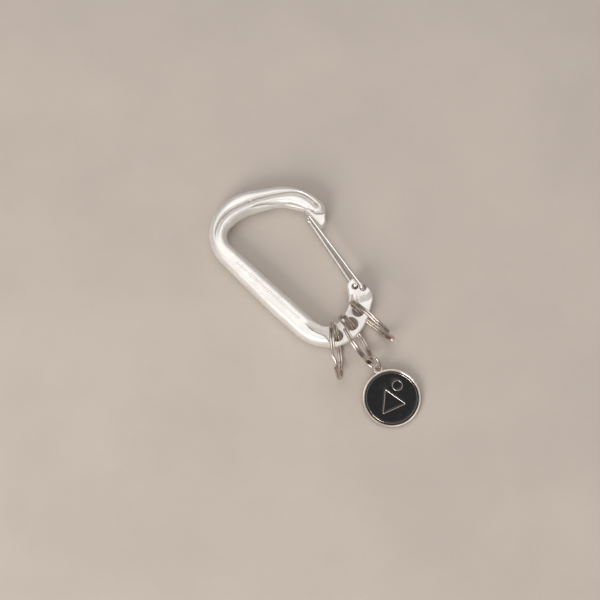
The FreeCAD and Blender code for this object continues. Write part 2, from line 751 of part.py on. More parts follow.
# ----------------------------------------------------------------- charm ----
def charm_placement():
    """Charm lying on its far edge, tilted so that the jump ring holds its eye."""
    eye = jump_ring_centre() + Vector(size("eye_off_x"), size("eye_off_y"), size("eye_off_z"))
    edge = size("charm_diameter") / 2
    long, thick = edge + size("eye_centre"), size("charm_thickness") / 2
    tilt = math.asin(eye.z / math.hypot(long, thick)) - math.atan2(thick, long)
    heading = math.radians(size("charm_heading"))
    along = Vector(math.cos(heading), math.sin(heading), 0)
    toward_eye = along * math.cos(tilt) + UP * math.sin(tilt)
    face = UP * math.cos(tilt) - along * math.sin(tilt)
    centre = eye - toward_eye * size("eye_centre") - face * thick
    return Placement(centre, Rotation(toward_eye.cross(face), toward_eye, face, "XYZ"))


def peak_prism(name, radius, length, z):
    """Three-cornered prism, one corner towards the eye."""
    solid = document.addObject("Part::Prism", name)
    solid.Polygon = 3
    solid.setExpression("Circumradius", radius)
    solid.setExpression("Height", length)
    solid.Placement = Placement(Vector(), Rotation(UP, 90))
    for axis, text in zip("xyz", ("Sizes.peak_x", "Sizes.peak_y", z)):
        solid.setExpression(f"Placement.Base.{axis}", text)
    return solid


FLOOR = "Sizes.charm_thickness - Sizes.recess_depth"
RIM = "Sizes.charm_diameter / 2 - Sizes.rim_width"
BORDER = "Sizes.charm_diameter / 2 - Sizes.border_inset"
PEAK_OUTER = "Sizes.peak_radius + 2 * Sizes.line_width"
SUN = ("Sizes.sun_x", "Sizes.sun_y")


def charm_disc():
    """Disc with a raised rim, thin metal lines and an eye."""
    depth = "Sizes.recess_depth"
    blank = cylinder("disc_blank", "Sizes.charm_diameter / 2", "Sizes.charm_thickness")
    well = cylinder("disc_well", RIM, "Sizes.charm_thickness", z=FLOOR)
    dish = cut("disc_dish", blank, well)
    border = cut(
        "border_line",
        cylinder("border_line_outer", f"{BORDER} + Sizes.line_width", depth, z=FLOOR),
        cylinder("border_line_inner", BORDER, depth, z=FLOOR))
    peak = cut(
        "peak_line",
        peak_prism("peak_line_outer", PEAK_OUTER, depth, FLOOR),
        peak_prism("peak_line_inner", "Sizes.peak_radius", depth, FLOOR))
    sun = cut(
        "sun_line",
        cylinder("sun_line_outer", "Sizes.sun_radius + Sizes.line_width", depth, *SUN, z=FLOOR),
        cylinder("sun_line_inner", "Sizes.sun_radius", depth, *SUN, z=FLOOR))
    eye_low = "Sizes.charm_thickness / 2 - Sizes.eye_thickness / 2"
    eye_y = "Sizes.eye_centre"
    eye = cylinder("eye_boss", "Sizes.eye_outer", "Sizes.eye_thickness", y=eye_y, z=eye_low)
    hole = cylinder("eye_bore", "Sizes.eye_hole", "Sizes.charm_thickness", y=eye_y)
    disc = cut("disc_with_eye", joined("disc_pieces", [dish, border, peak, sun, eye]), hole)
    disc.Label = "charm_disc"
    return disc


def enamel_cells():
    """Enamel poured into each cell between the metal lines."""
    depth = "Sizes.enamel_depth"
    cells = []
    border = cut("cell_border",
                 cylinder("cell_border_outer", RIM, depth, z=FLOOR),
                 cylinder("cell_border_inner", f"{BORDER} + Sizes.line_width", depth, z=FLOOR))
    border.Label = "enamel_border"
    cells.append(border)
    field = cut("cell_field",
                cylinder("cell_field_outer", BORDER, depth, z=FLOOR),
                joined("cell_field_lines", [
                    peak_prism("cell_field_peak", PEAK_OUTER, depth, FLOOR),
                    cylinder("cell_field_sun", "Sizes.sun_radius + Sizes.line_width", depth,
                             *SUN, z=FLOOR)]))
    field.Label = "enamel_field"
    cells.append(field)
    peak = peak_prism("cell_peak", "Sizes.peak_radius", depth, FLOOR)
    sun = cylinder("cell_sun", "Sizes.sun_radius", depth, *SUN, z=FLOOR)
    cells += [common("cell_peak_solid", peak, cylinder("cell_peak_well", RIM, depth, z=FLOOR)),
              common("cell_sun_solid", sun, cylinder("cell_sun_well", RIM, depth, z=FLOOR))]
    cells[-2].Label = "enamel_peak"
    cells[-1].Label = "enamel_sun"
    return cells


# -------------------------------------------------------------- assembly ----
def check(objects):
    """Stop on anything the recompute left failed, empty or invalid."""
    for item in document.Objects:
        for state in item.State:
            if state in ("Invalid", "Error"):
                raise RuntimeError(f"{item.Name} is {state}: {item.getStatusString()}")
    for item in objects:
        if item.Shape.isNull() or not item.Shape.isValid() or not item.Shape.Solids:
            raise RuntimeError(f"{item.Label} has no valid solid")


def main():
    """Build every sub-part and write one STEP file for each."""
    parts = [carabiner_frame(), wire_gate()]
    parts += [split_ring(place) for place in RINGS]
    parts.append(jump_ring())
    charm = [charm_disc()] + enamel_cells()
    for item in charm:
        item.Placement = charm_placement()
    parts += charm
    document.recompute()
    check(parts)
    os.makedirs("parts", exist_ok=True)
    for item in parts:
        item.Shape.exportStep(os.path.join("parts", item.Label + ".step"))
        print(f"{item.Label:22s} {len(item.Shape.Solids)} solid, {item.Shape.Volume:9.2f} mm3")


main()
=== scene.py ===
"""Carabiner keyring: forged bar, wire gate, split rings, jump ring and enamelled charm.

Lengths in the property groups are metres. Shape functions work in millimetres
and hand over to Blender in metres through MM.
"""
import math
import bmesh
import bpy
import numpy as np
from bpy.props import (FloatProperty, FloatVectorProperty, IntProperty, PointerProperty)
from mathutils import Matrix, Vector


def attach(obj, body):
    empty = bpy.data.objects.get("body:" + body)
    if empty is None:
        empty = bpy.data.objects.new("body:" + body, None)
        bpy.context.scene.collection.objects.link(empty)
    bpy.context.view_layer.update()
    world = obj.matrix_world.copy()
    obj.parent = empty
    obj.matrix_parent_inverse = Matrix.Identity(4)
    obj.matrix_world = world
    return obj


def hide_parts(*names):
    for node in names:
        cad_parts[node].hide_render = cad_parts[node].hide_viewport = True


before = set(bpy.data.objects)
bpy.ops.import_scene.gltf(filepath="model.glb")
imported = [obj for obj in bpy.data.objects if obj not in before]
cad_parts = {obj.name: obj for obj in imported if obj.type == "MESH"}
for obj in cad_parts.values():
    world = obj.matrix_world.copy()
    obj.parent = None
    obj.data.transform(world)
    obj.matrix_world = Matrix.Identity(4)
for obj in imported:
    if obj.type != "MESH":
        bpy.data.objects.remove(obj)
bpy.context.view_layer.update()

bl_info = {
    "name": "Carabiner Keyring",
    "version": (1, 0, 0),
    "blender": (4, 5, 0),
    "location": "View3D > Sidebar > Keyring",
    "description": "Builds a wire-gate carabiner with split rings and an enamelled charm",
    "category": "Object",
}

MM = 0.001
MID = 4.5                       # half the bar's thickness, its middle plane

# Outline of the bar, mm: x, y and corner radius. The outer side runs from the
# nose to the hinge tip, the inner side from the gate's mouth to the hinge tip.
OUTER_SIDE = [
    (36.9, 3.4, 0), (40.0, 3.4, 3.0), (45.9, 9.3, 5.5), (45.9, 24.5, 24.6),
    (22.1, 42.1, 22.0), (-3.0, 42.1, 17.8), (-5.1, -4.0, 80.0), (-4.8, -28.4, 22.0),
    (5.2, -40.3, 15.5), (18.4, -40.3, 22.0), (31.7, -33.2, 6.0), (31.0, -21.6, 0),
]
INNER_SIDE = [
    (37.9, 14.1, 0), (32.5, 23.75, 16.0), (17.7, 32.3, 20.0), (4.5, 32.6, 6.0),
    (4.9, -32.0, 7.0), (20.5, -29.1, 11.0), (26.0, -21.6, 3.0), (28.4, -21.6, 0),
]
# Places that face each other across the bar: outer x, y, inner x, y.
FACING = [
    (45.9, 14.0, 37.1, 15.6), (43.6, 26.2, 33.4, 22.2), (25.0, 40.8, 20.0, 31.2),
    (4.0, 42.1, 8.5, 32.5), (-3.4, 37.0, 4.9, 30.5), (-4.0, 22.0, 4.5, 23.0),
    (-5.0, -20.0, 4.8, -22.0), (-1.8, -34.4, 6.0, -30.6), (6.0, -39.8, 9.0, -31.5),
    (19.0, -39.9, 16.0, -30.2), (28.5, -34.6, 21.2, -28.2), (31.5, -29.6, 23.6, -25.0),
]
GROOVE_LINE = [
    (0.6, 28.5), (2.0, 32.3), (4.9, 35.1), (9.5, 36.9), (15.0, 36.8), (22.5, 34.3),
    (30.0, 30.3), (38.2, 24.4), (41.4, 20.4), (42.6, 15.5), (42.4, 9.0),
]
# Recess of the nose, down to the tongue's thickness.
SHELF = [
    (18.6, 32.6, 0), (26.0, 30.3, 14.0), (36.3, 19.7, 9.0), (39.6, 11.1, 2.0),
    (39.6, 9.7, 1.4), (42.0, 7.2, 2.0), (52.0, 7.2, 0), (52.0, -6.0, 0), (18.6, -6.0, 0),
]
# Recess of the ring end, right of the outer flange.
RING_END = [
    (0.4, -14.0, 0), (0.5, -25.5, 10.0), (3.2, -32.2, 6.0), (1.4, -36.2, 0),
    (-2.0, -47.0, 0), (40.0, -47.0, 0), (40.0, -14.0, 0),
]
# Hinge tongue, down to where the slope to the ring plate starts.
TONGUE = [
    (40.0, -30.4, 0), (28.6, -31.4, 2.0), (25.7, -29.7, 1.0), (24.7, -26.9, 1.0),
    (21.0, -25.6, 0), (14.0, -14.0, 0), (40.0, -14.0, 0),
]
# Shape of the bar's faces, mm.
CROWN_POWER, LIP_POWER = 2.25, 2.3      # roundness of the bar's edge and a recess's edge
GROOVE_DEPTH, GROOVE_SHIFT = 1.35, 0.45     # the groove, and how far out its floor lies
GROOVE_OUTER, GROOVE_INNER = 0.45, 1.3      # widths of its two walls
GROOVE_START, GROOVE_END = 15.0, 4.0        # lengths over which it deepens and runs out
LIP = 0.75                              # rounding of a recess's outer edge
LEAF_RISE, LEAF_X, LEAF_LENGTH = 1.9, 30.5, 12.0    # climb of the nose recess to the bow
RAMP_RISE, RAMP_Y, RAMP_LENGTH = 5.0, -33.0, 18.0   # climb of the ring end to the spine
SHELF_WALL, TONGUE_WALL, RING_WALL = 3.2, 0.62, 6.0     # slopes of the recess walls
# Holes, mm: x, y and radius. The last is the notch for the gate's cross-bar.
WEB_HOLES = ((6.7, -34.2, 2.599), (14.7, -35.2, 2.895), (20.9, -33.4, 2.505))
TONGUE_HOLES = ((29.59, -28.05, 1.372), (27.71, -25.15, 1.372), (37.0, 11.5, 1.05))
WEB_HALF, TONGUE_HALF = 1.0, 2.4        # half the plate under each
BREAK_DEPTH, BREAK_WIDTH = 0.28, 0.33   # broken edge of a hole
# Gate, jump ring and charm, mm.
GATE_PIVOT, PIN_OFFSET, CROSS_BAR = (28.65, -26.6, MID), (0.55, -1.7, 0), (37.0, 11.5, MID)
RIB_ENDS = ((0.0, 18.4), (0.35, -17.4))
RING_RADIUS = 11.8
JUMP_CENTRE, JUMP_AXIS, JUMP_RADIUS = (8.71, -53.56, 5.19), (-0.911, -0.125, 0.392), 3.4
CHARM_CENTRE, CHARM_RADIUS = (3.18, -69.4), 12.5
CHARM_HEADING, CHARM_TILT = math.radians(68.0), math.radians(6.0)
CHARM_TOP, CHARM_WELL, CHARM_RIM = 1.8, 1.3, 1.0
BORDER_RADIUS, SUN_CENTRE, SUN_RADIUS = 10.83, (4.4, 3.9), 2.13
PEAK_CENTRE, PEAK_REACH = (-1.0, -1.6), 6.05
AIM, CAMERA_SIDE = (7.48, -11.69, 4.3), (-0.728, -0.686, 0)
FLOOR_REACH, FLOOR_LEVEL = 1.6, -0.00004        # metres
COLOUR = {"subtype": "COLOR", "size": 3, "min": 0, "max": 1}


# ------------------------------------------------------------ properties ----
class KEYRING_PG_bar(bpy.types.PropertyGroup):
    """Sizes of the forged bar."""
    thickness: FloatProperty(name="Thickness", description="Bar thickness",
                             default=9.0 * MM, unit="LENGTH")
    tongue: FloatProperty(name="Tongue", description="Thickness between the gate legs",
                          default=4.8 * MM, unit="LENGTH")
    web: FloatProperty(name="Web", description="Thickness of the ring plate",
                       default=2.0 * MM, unit="LENGTH")
    rounding: FloatProperty(name="Rounding", description="Width of the rounded edge",
                            default=3.3 * MM, unit="LENGTH")
    rows: IntProperty(name="Rows", description="Mesh rows along the bar", default=700, min=60)
    columns: IntProperty(name="Columns", description="Mesh columns across the bar",
                         default=50, min=12)


class KEYRING_PG_wire(bpy.types.PropertyGroup):
    """Sizes of the gate wire and the rings."""
    gate: FloatProperty(name="Gate Wire", description="Gate wire diameter",
                        default=1.7 * MM, unit="LENGTH")
    coil_width: FloatProperty(name="Coil Width", description="Radial width of a ring's wire",
                              default=1.38 * MM, unit="LENGTH")
    coil_height: FloatProperty(name="Coil Height", description="Axial height of one coil",
                               default=0.97 * MM, unit="LENGTH")
    jump: FloatProperty(name="Jump Ring Wire", description="Jump ring wire diameter",
                        default=0.9 * MM, unit="LENGTH")
    ribs: IntProperty(name="Grip Ribs", description="Ribs along the spine", default=34, min=0)


class KEYRING_PG_finish(bpy.types.PropertyGroup):
    """Colours of the finishes."""
    bar: FloatVectorProperty(name="Bar", description="Blasted aluminium",
                             default=(0.90, 0.885, 0.865), **COLOUR)
    gate: FloatVectorProperty(name="Gate", description="Polished stainless wire",
                              default=(0.86, 0.84, 0.81), **COLOUR)
    ring: FloatVectorProperty(name="Rings", description="Nickel plate",
                              default=(0.68, 0.61, 0.55), **COLOUR)
    enamel: FloatVectorProperty(name="Enamel", description="Black enamel",
                                default=(0.004, 0.004, 0.005), **COLOUR)
    floor: FloatVectorProperty(name="Floor", description="Pale floor",
                               default=(0.56, 0.50, 0.455), **COLOUR)


class KEYRING_PG_stage(bpy.types.PropertyGroup):
    """Camera and light."""
    distance: FloatProperty(name="Distance", description="Camera distance", default=0.8,
                            unit="LENGTH")
    elevation: FloatProperty(name="Elevation", description="Camera angle above the floor",
                             default=math.radians(75.0), unit="ROTATION")
    lens: FloatProperty(name="Lens", description="Focal length in mm", default=111.4)
    key: FloatProperty(name="Key Light", description="Power of the main soft light",
                       default=7.6)


# --------------------------------------------------------------- outlines ----
def corner_arc(before, here, after, radius, step, least):
    """Points of the tangent arc that rounds a corner, in two or three dimensions."""
    before, here, after = (np.array(place, float) for place in (before, here, after))
    before, after = ((place - here) / np.linalg.norm(place - here) for place in (before, after))
    half = math.acos(np.clip(before @ after, -1, 1)) / 2
    middle = (before + after) / np.linalg.norm(before + after)
    centre = here + middle * radius / math.sin(half)
    out = (here + before * radius / math.tan(half) - centre) / radius
    turn = math.pi - 2 * half
    return [centre + radius * (math.cos(angle) * out - math.sin(angle) * before)
            for angle in np.linspace(0, turn, max(least, int(turn * radius / step)) + 1)]


def rounded_path(corners, step=0.25, closed=False):
    """Points along straight runs joined by tangent arcs, as an array."""
    points = []
    for index, (x, y, radius) in enumerate(corners):
        if radius:
            after = corners[(index + 1) % len(corners)]
            points += corner_arc(corners[index - 1][:2], (x, y), after[:2], radius, step, 4)
        else:
            points.append((x, y))
    if closed:
        points.append(points[0])
    return np.array(points)


def along_path(path):
    """Distance along a path at each of its points."""
    return np.concatenate(([0], np.cumsum(np.linalg.norm(np.diff(path, axis=0), axis=1))))


def place_on(path, run, distance):
    """Points of a path at the given distances along it."""
    return np.stack([np.interp(distance, run, path[:, axis]) for axis in range(2)], 1)


def nearest_run(path, run, point):
    """Distance along a path of its nearest place to a point."""
    fine = np.linspace(0, run[-1], 4000)
    places = place_on(path, run, fine)
    return fine[np.argmin(np.linalg.norm(places - point, axis=1))]


def smooth_line(points, pieces=14):
    """Catmull-Rom line through points."""
    points = np.array(points, float)
    padded = np.vstack((2 * points[0] - points[1], points, 2 * points[-1] - points[-2]))
    t = np.linspace(0, 1, pieces, endpoint=False)[:, None]
    line = []
    for a, b, c, d in zip(padded, padded[1:], padded[2:], padded[3:]):
        line.append(0.5 * (2 * b + (c - a) * t + (2 * a - 5 * b + 4 * c - d) * t ** 2
                           + (3 * b - a - 3 * c + d) * t ** 3))
    return np.vstack(line + [points[-1:]])


def distance_to(path, places):
    """Distance from each place to a path, and how far along the path it is nearest."""
    best = np.full(len(places), np.inf)
    run_at = np.zeros(len(places))
    run = along_path(path)
    for start, stop, at in zip(path, path[1:], run):
        edge = stop - start
        length = max(edge @ edge, 1e-12)
        t = np.clip((places - start) @ edge / length, 0, 1)
        away = np.linalg.norm(places - start - t[:, None] * edge, axis=1)
        closer = away < best
        best[closer] = away[closer]
        run_at[closer] = at + t[closer] * math.sqrt(length)
    return best, run_at


def inside(path, places):
    """Which places lie inside a closed path."""
    odd = np.zeros(len(places), bool)
    for (x1, y1), (x2, y2) in zip(path, path[1:]):
        if y1 == y2:
            continue
        spans = (y1 > places[:, 1]) != (y2 > places[:, 1])
        cross = x1 + (places[:, 1] - y1) * (x2 - x1) / (y2 - y1)
        odd ^= spans & (places[:, 0] < cross)
    return odd


def outside_by(corners, places):
    """Signed distance to a rounded outline, positive outside."""
    path = rounded_path(corners, 0.4, closed=True)
    away = distance_to(path, places)[0]
    return np.where(inside(path, places), -away, away)


def ease(value):
    """Smooth step from 0 to 1."""
    value = np.clip(value, 0, 1)
    return value * value * (3 - 2 * value)


def rounded_edge(away, width, power):
    """Superellipse rise from 0 at an edge to 1 a width inside it."""
    inner = 1 - np.clip(away / width, 0, 1)
    return (1 - inner ** power) ** (1 / power)


def soft_lower(first, second, blend):
    """The lower of two heights, with the crease between them rounded."""
    blend = blend * np.clip(np.minimum(first, second), 0, 1) + 1e-6
    return np.minimum(first, second) - np.maximum(blend - np.abs(first - second), 0) ** 2 / (
        4 * blend)


# ----------------------------------------------------------------- meshes ----
def new_object(name, vertices, faces):
    """Mesh object at the origin from millimetre points."""
    mesh = bpy.data.meshes.new(name)
    mesh.from_pydata((np.asarray(vertices, float) * MM).tolist(), [], faces)
    mesh.validate()
    mesh.update()
    item = bpy.data.objects.new(name, mesh)
    bpy.context.scene.collection.objects.link(item)
    shade(mesh, 38)
    return item


def shade(mesh, smooth_angle):
    """Smooth shading with sharp edges past an angle in degrees."""
    mesh.shade_smooth()
    mesh.set_sharp_from_angle(angle=math.radians(smooth_angle))


def tidy_mesh(mesh, merge=1e-7):
    """Merge doubles and turn the faces outwards."""
    work = bmesh.new()
    work.from_mesh(mesh)
    bmesh.ops.remove_doubles(work, verts=work.verts, dist=merge)
    bmesh.ops.recalc_face_normals(work, faces=work.faces)
    work.to_mesh(mesh)
    work.free()


def evaluated_mesh(item):
    """Plain mesh of an object with its modifiers applied."""
    graph = bpy.context.evaluated_depsgraph_get()
    return bpy.data.meshes.new_from_object(item.evaluated_get(graph))


def plain_copy(item):
    """Replace an object's mesh with its evaluated one and drop its modifiers."""
    mesh = evaluated_mesh(item)
    mesh.name = item.name
    item.modifiers.clear()
    item.data = mesh


def finish_piece(item, body, material, replaced=()):
    """Give a piece its finish, its body and the nodes it stands for."""
    item.data.materials.clear()
    item.data.materials.append(material)
    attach(item, body)
    if replaced:
        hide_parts(*replaced)


def joined(parts):
    """Vertices and faces of several shapes as one."""
    vertices, faces = [], []
    for points, polygons in parts:
        base = len(vertices)
        vertices.extend(points)
        faces.extend(tuple(base + index for index in polygon) for polygon in polygons)
    return vertices, faces


def placement(*columns):
    """Matrix from three axes and an origin."""
    matrix = Matrix.Identity(4)
    for row in range(3):
        for column, vector in enumerate(columns):
            matrix[row][column] = vector[row]
    return matrix


def bent_path(places, bends):
    """3-D path of straight runs and tangent arcs, mm."""
    points = [np.array(places[0], float)]
    for index, radius in enumerate(bends, 1):
        points += corner_arc(*places[index - 1:index + 2], radius, 0.12, 6)
    points.append(np.array(places[-1], float))
    spaced = [points[0]]
    for point in points[1:]:
        extra = int(np.linalg.norm(point - spaced[-1]) / 1.5)
        for number in range(1, extra + 1):
            spaced.append(spaced[-1] + (point - spaced[-1]) / (extra + 2 - number))
        spaced.append(point)
    return np.array(spaced)


def bands(rows, size, along=True, around=True, first=0, flip=False):
    """Quads between rows of points, closed along the rows and around each one."""
    faces = []
    for row in range(rows if along else rows - 1):
        here, there = first + row * size, first + (row + 1) % rows * size
        for spot in range(size if around else size - 1):
            after = (spot + 1) % size
            quad = (here + spot, there + spot, there + after, here + after)
            faces.append((quad[0], *quad[:0:-1]) if flip else quad)
    return faces


def swept_tube(name, path, radius, sides=28, broken=0.25):
    """Round wire along a path, its two cut ends broken by a small rounding."""
    tangents = np.gradient(path, axis=0)
    tangents /= np.linalg.norm(tangents, axis=1)[:, None]
    normal = np.cross(tangents[0], (0.31, 0.52, 0.79))
    sections = []
    for place, tangent in zip(path, tangents):
        normal = normal - tangent * (normal @ tangent)
        normal /= np.linalg.norm(normal)
        sections.append((place, normal, np.cross(tangent, normal), radius))
    for angle in (math.pi / 4, math.pi / 2):
        out, less = broken * math.sin(angle), broken * (1 - math.cos(angle))
        place, one, two = path[0] - tangents[0] * out, *sections[0][1:3]
        sections.insert(0, (place, one, two, radius - less))
        place, one, two = path[-1] + tangents[-1] * out, *sections[-1][1:3]
        sections.append((place, one, two, radius - less))
    angles = np.linspace(0, 2 * math.pi, sides, endpoint=False)
    vertices = [place + reach * (math.cos(angle) * one + math.sin(angle) * two)
                for place, one, two, reach in sections for angle in angles]
    faces = bands(len(sections), sides, along=False, flip=True)
    faces.append(tuple(range(sides)))
    faces.append(tuple(range(len(vertices) - sides, len(vertices))))
    item = new_object(name, vertices, faces)
    tidy_mesh(item.data)
    shade(item.data, 50)
    return item


def revolved(profile, sides, closed=True):
    """Vertices and faces of a profile (radius, height) turned about Z."""
    vertices = [(radius * math.cos(angle), radius * math.sin(angle), height)
                for angle in np.linspace(0, 2 * math.pi, sides, endpoint=False)
                for radius, height in profile]
    return vertices, bands(sides, len(profile), around=closed)


def rounded_box_profile(inner, outer, low, high, radius, pieces=4):
    """Closed profile of a rounded rectangle, anticlockwise."""
    profile = []
    for cx, cy, first in ((outer - radius, high - radius, 0), (inner + radius, high - radius, 90),
                          (inner + radius, low + radius, 180), (outer - radius, low + radius, 270)):
        for angle in np.linspace(first, first + 90, pieces + 1):
            profile.append((cx + radius * math.cos(math.radians(angle)),
                            cy + radius * math.sin(math.radians(angle))))
    return profile


# ------------------------------------------------------------- node trees ----
def feed(tree, socket, value):
    """Set a socket to a value, or link it where the value is a socket."""
    if isinstance(value, bpy.types.NodeSocket):
        tree.links.new(value, socket)
    else:
        socket.default_value = value


def add_node(tree, kind, inputs, **settings):
    """Node with its settings made and its inputs fed, by name or number."""
    node = tree.nodes.new(kind)
    for label, value in settings.items():
        setattr(node, label, value)
    for label, value in inputs.items():
        feed(tree, node.inputs[label], value)
    return node


def named_tree(name, kind, inputs, outputs):
    """Empty node tree with named sockets, and its own inputs and outputs."""
    tree = bpy.data.node_groups.new(name, kind)
    for label, value_kind, default in inputs:
        socket = tree.interface.new_socket(label, in_out="INPUT",
                                           socket_type="NodeSocket" + value_kind)
        if default is not None:
            socket.default_value = default
    for label, value_kind in outputs:
        tree.interface.new_socket(label, in_out="OUTPUT", socket_type="NodeSocket" + value_kind)
    start, stop = tree.nodes.new("NodeGroupInput"), tree.nodes.new("NodeGroupOutput")
    return tree, start.outputs, stop.inputs


def maths(tree, operation, first, second):
    """Two-input maths on numbers or sockets."""
    return add_node(tree, "ShaderNodeMath", {0: first, 1: second}, operation=operation).outputs[0]


def noise(tree, vector, scale, detail=3.0, roughness=0.55):
    """Value of a noise texture on a vector."""
    return add_node(tree, "ShaderNodeTexNoise",
                    {"Vector": vector, "Scale": scale, "Detail": detail,
                     "Roughness": roughness}).outputs["Fac"]


def ramp(tree, value, low, high, out_low=0.0, out_high=1.0):
    """Smooth, clamped remap of a value."""
    return add_node(tree, "ShaderNodeMapRange",
                    {"Value": value, "From Min": low, "From Max": high, "To Min": out_low,
                     "To Max": out_high}, interpolation_type="SMOOTHSTEP").outputs["Result"]


def mix_colour(tree, factor, first, second):
    """Mixed colour; each colour is a tuple or a socket."""
    first, second = ((*value[:3], 1.0) if isinstance(value, tuple) else value
                     for value in (first, second))
    return add_node(tree, "ShaderNodeMix", {"Factor": factor, 6: first, 7: second},
                    data_type="RGBA").outputs[2]


def tinted(tree, base, *tints):
    """A colour with others mixed over it, each by a mask times an amount."""
    for mask, amount, colour in tints:
        base = mix_colour(tree, maths(tree, "MULTIPLY", mask, amount), base, colour)
    return base


def built_up(tree, value, *shares):
    """A value with masks added to it, each times an amount."""
    for mask, amount in shares:
        value = maths(tree, "ADD", value, maths(tree, "MULTIPLY", mask, amount))
    return value


# -------------------------------------------------------------- materials ----
def blasted_grain_group():
    """Fine pits of bead blasting over a slow unevenness."""
    group, given, made = named_tree(
        "Blasted Grain", "ShaderNodeTree",
        [("Vector", "Vector", (0, 0, 0)), ("Grain", "Float", 4.0), ("Patch", "Float", 0.12)],
        [("Height", "Float"), ("Speck", "Float"), ("Cloud", "Float")])
    fine = noise(group, given["Vector"], given["Grain"], 4.0, 0.62)
    slow = noise(group, given["Vector"], given["Patch"], 3.0, 0.5)
    feed(group, made["Height"], fine)
    feed(group, made["Speck"], ramp(group, fine, 0.55, 0.75))
    feed(group, made["Cloud"], ramp(group, slow, 0.35, 0.65))
    return group


def handling_group():
    """Fine scratches in two directions and faint smudges."""
    group, given, made = named_tree(
        "Handling Marks", "ShaderNodeTree",
        [("Vector", "Vector", (0, 0, 0)), ("Density", "Float", 1.0)],
        [("Scratch", "Float"), ("Smudge", "Float")])
    masks = []
    for turn, stretch in ((0.6, 9.0), (2.1, 12.0)):
        mapping = add_node(group, "ShaderNodeMapping",
                           {"Vector": given["Vector"], "Rotation": (0.3, 0.2, turn),
                            "Scale": (1.0, stretch, stretch * 0.6)})
        streak = noise(group, mapping.outputs["Vector"], given["Density"], 2.0, 0.5)
        masks.append(ramp(group, streak, 0.66, 0.72))
    feed(group, made["Scratch"], maths(group, "MAXIMUM", *masks))
    smudge = noise(group, given["Vector"], 0.35, 2.0)
    feed(group, made["Smudge"], ramp(group, smudge, 0.42, 0.7))
    return group


def edge_wear_and_shade_group():
    """Where edges are rubbed bright, broken up by noise, and where hollows take painted shade."""
    group, given, made = named_tree(
        "Edge Wear And Hollow Shade", "ShaderNodeTree",
        [("Vector", "Vector", (0, 0, 0)), ("Sharpness", "Float", 0.53)],
        [("Wear", "Float"), ("Painted Hollow Shade", "Float")])
    geometry = group.nodes.new("ShaderNodeNewGeometry")
    lifted = maths(group, "SUBTRACT", geometry.outputs["Pointiness"], given["Sharpness"])
    broken = ramp(group, noise(group, given["Vector"], 1.6), 0.3, 0.6)
    feed(group, made["Wear"], maths(group, "MULTIPLY", ramp(group, lifted, 0.0, 0.04), broken))
    # Painted shade: concave places (low pointiness) get a mask that darkens them.
    feed(group, made["Painted Hollow Shade"], ramp(group, lifted, -0.055, -0.024, 1.0, 0.0))
    return group


SHADER_GROUPS = {"Blasted Grain": blasted_grain_group, "Handling Marks": handling_group,
                 "Edge Wear And Hollow Shade": edge_wear_and_shade_group}


def placed_group(tree, name, vector, **values):
    """Outputs of a shared group, which is built the first time it is asked for."""
    group = bpy.data.node_groups.get(name) or SHADER_GROUPS[name]()
    return add_node(tree, "ShaderNodeGroup", {"Vector": vector, **values},
                    node_tree=group).outputs


def new_material(name):
    """Material with a Principled shader and Object coordinates in millimetres."""
    material = bpy.data.materials.new(name)
    material.use_nodes = True
    tree = material.node_tree
    where = tree.nodes.new("ShaderNodeTexCoord").outputs["Object"]
    scale = add_node(tree, "ShaderNodeMapping", {"Vector": where, "Scale": (1 / MM,) * 3})
    return material, tree, tree.nodes["Principled BSDF"], scale.outputs["Vector"]


def scaled(colour, factor):
    """A colour made lighter or darker."""
    return tuple(min(1.0, part * factor) for part in colour)


def lay_finish(tree, shader, base, rough, height, strength, depth):
    """Feed a shader its colour, its roughness and a bump of a depth in millimetres."""
    relief = add_node(tree, "ShaderNodeBump",
                      {"Height": height, "Strength": strength, "Distance": depth * MM})
    feed(tree, shader.inputs["Base Color"], base)
    feed(tree, shader.inputs["Roughness"], rough)
    feed(tree, shader.inputs["Normal"], relief.outputs["Normal"])


def blasted_aluminium(colour):
    """Bead-blasted, clear-anodised aluminium with rubbed edges and painted shade in its hollows."""
    material, tree, shader, where = new_material("Blasted Aluminium")
    grain = placed_group(tree, "Blasted Grain", where, Grain=4.2, Patch=0.13)
    marks = placed_group(tree, "Handling Marks", where, Density=0.5)
    wear_and_shade = placed_group(tree, "Edge Wear And Hollow Shade", where, Sharpness=0.52)
    base = tinted(tree, scaled(colour, 0.95), (grain["Cloud"], 1.0, scaled(colour, 1.03)),
                  (grain["Speck"], 0.35, scaled(colour, 0.80)),
                  (wear_and_shade["Wear"], 1.0, scaled(colour, 1.10)),
                  # Painted shade: hollows mixed towards a dark warm grey (0.36, 0.32, 0.28).
                  (wear_and_shade["Painted Hollow Shade"], 0.75, (0.36, 0.32, 0.28)))
    rough = built_up(tree, 0.44, (grain["Speck"], 0.08), (wear_and_shade["Wear"], -0.14),
                     (marks["Smudge"], -0.05))
    shader.inputs["Metallic"].default_value = 0.6
    height = built_up(tree, grain["Height"], (marks["Scratch"], -0.25))
    lay_finish(tree, shader, base, rough, height, 0.55, 0.035)
    return material


def polished_wire(name, colour, tint, roughness, grain):
    """Bright drawn wire, its colour drifting slowly towards a tint; on the rings the tint is a
    painted brownish reflection.
    """
    material, tree, shader, where = new_material(name)
    marks = placed_group(tree, "Handling Marks", where, Density=grain)
    drift = ramp(tree, noise(tree, where, 0.2, 2.0), 0.38, 0.62)
    base = tinted(tree, colour, (drift, 1.0, tint), (marks["Smudge"], 0.35, scaled(colour, 0.78)))
    rough = built_up(tree, roughness, (marks["Smudge"], 0.10), (marks["Scratch"], 0.12))
    shader.inputs["Metallic"].default_value = 1.0
    height = built_up(tree, 0.0, (noise(tree, where, 7.0), 0.4), (marks["Scratch"], -1.0))
    lay_finish(tree, shader, base, rough, height, 0.3, 0.012)
    return material


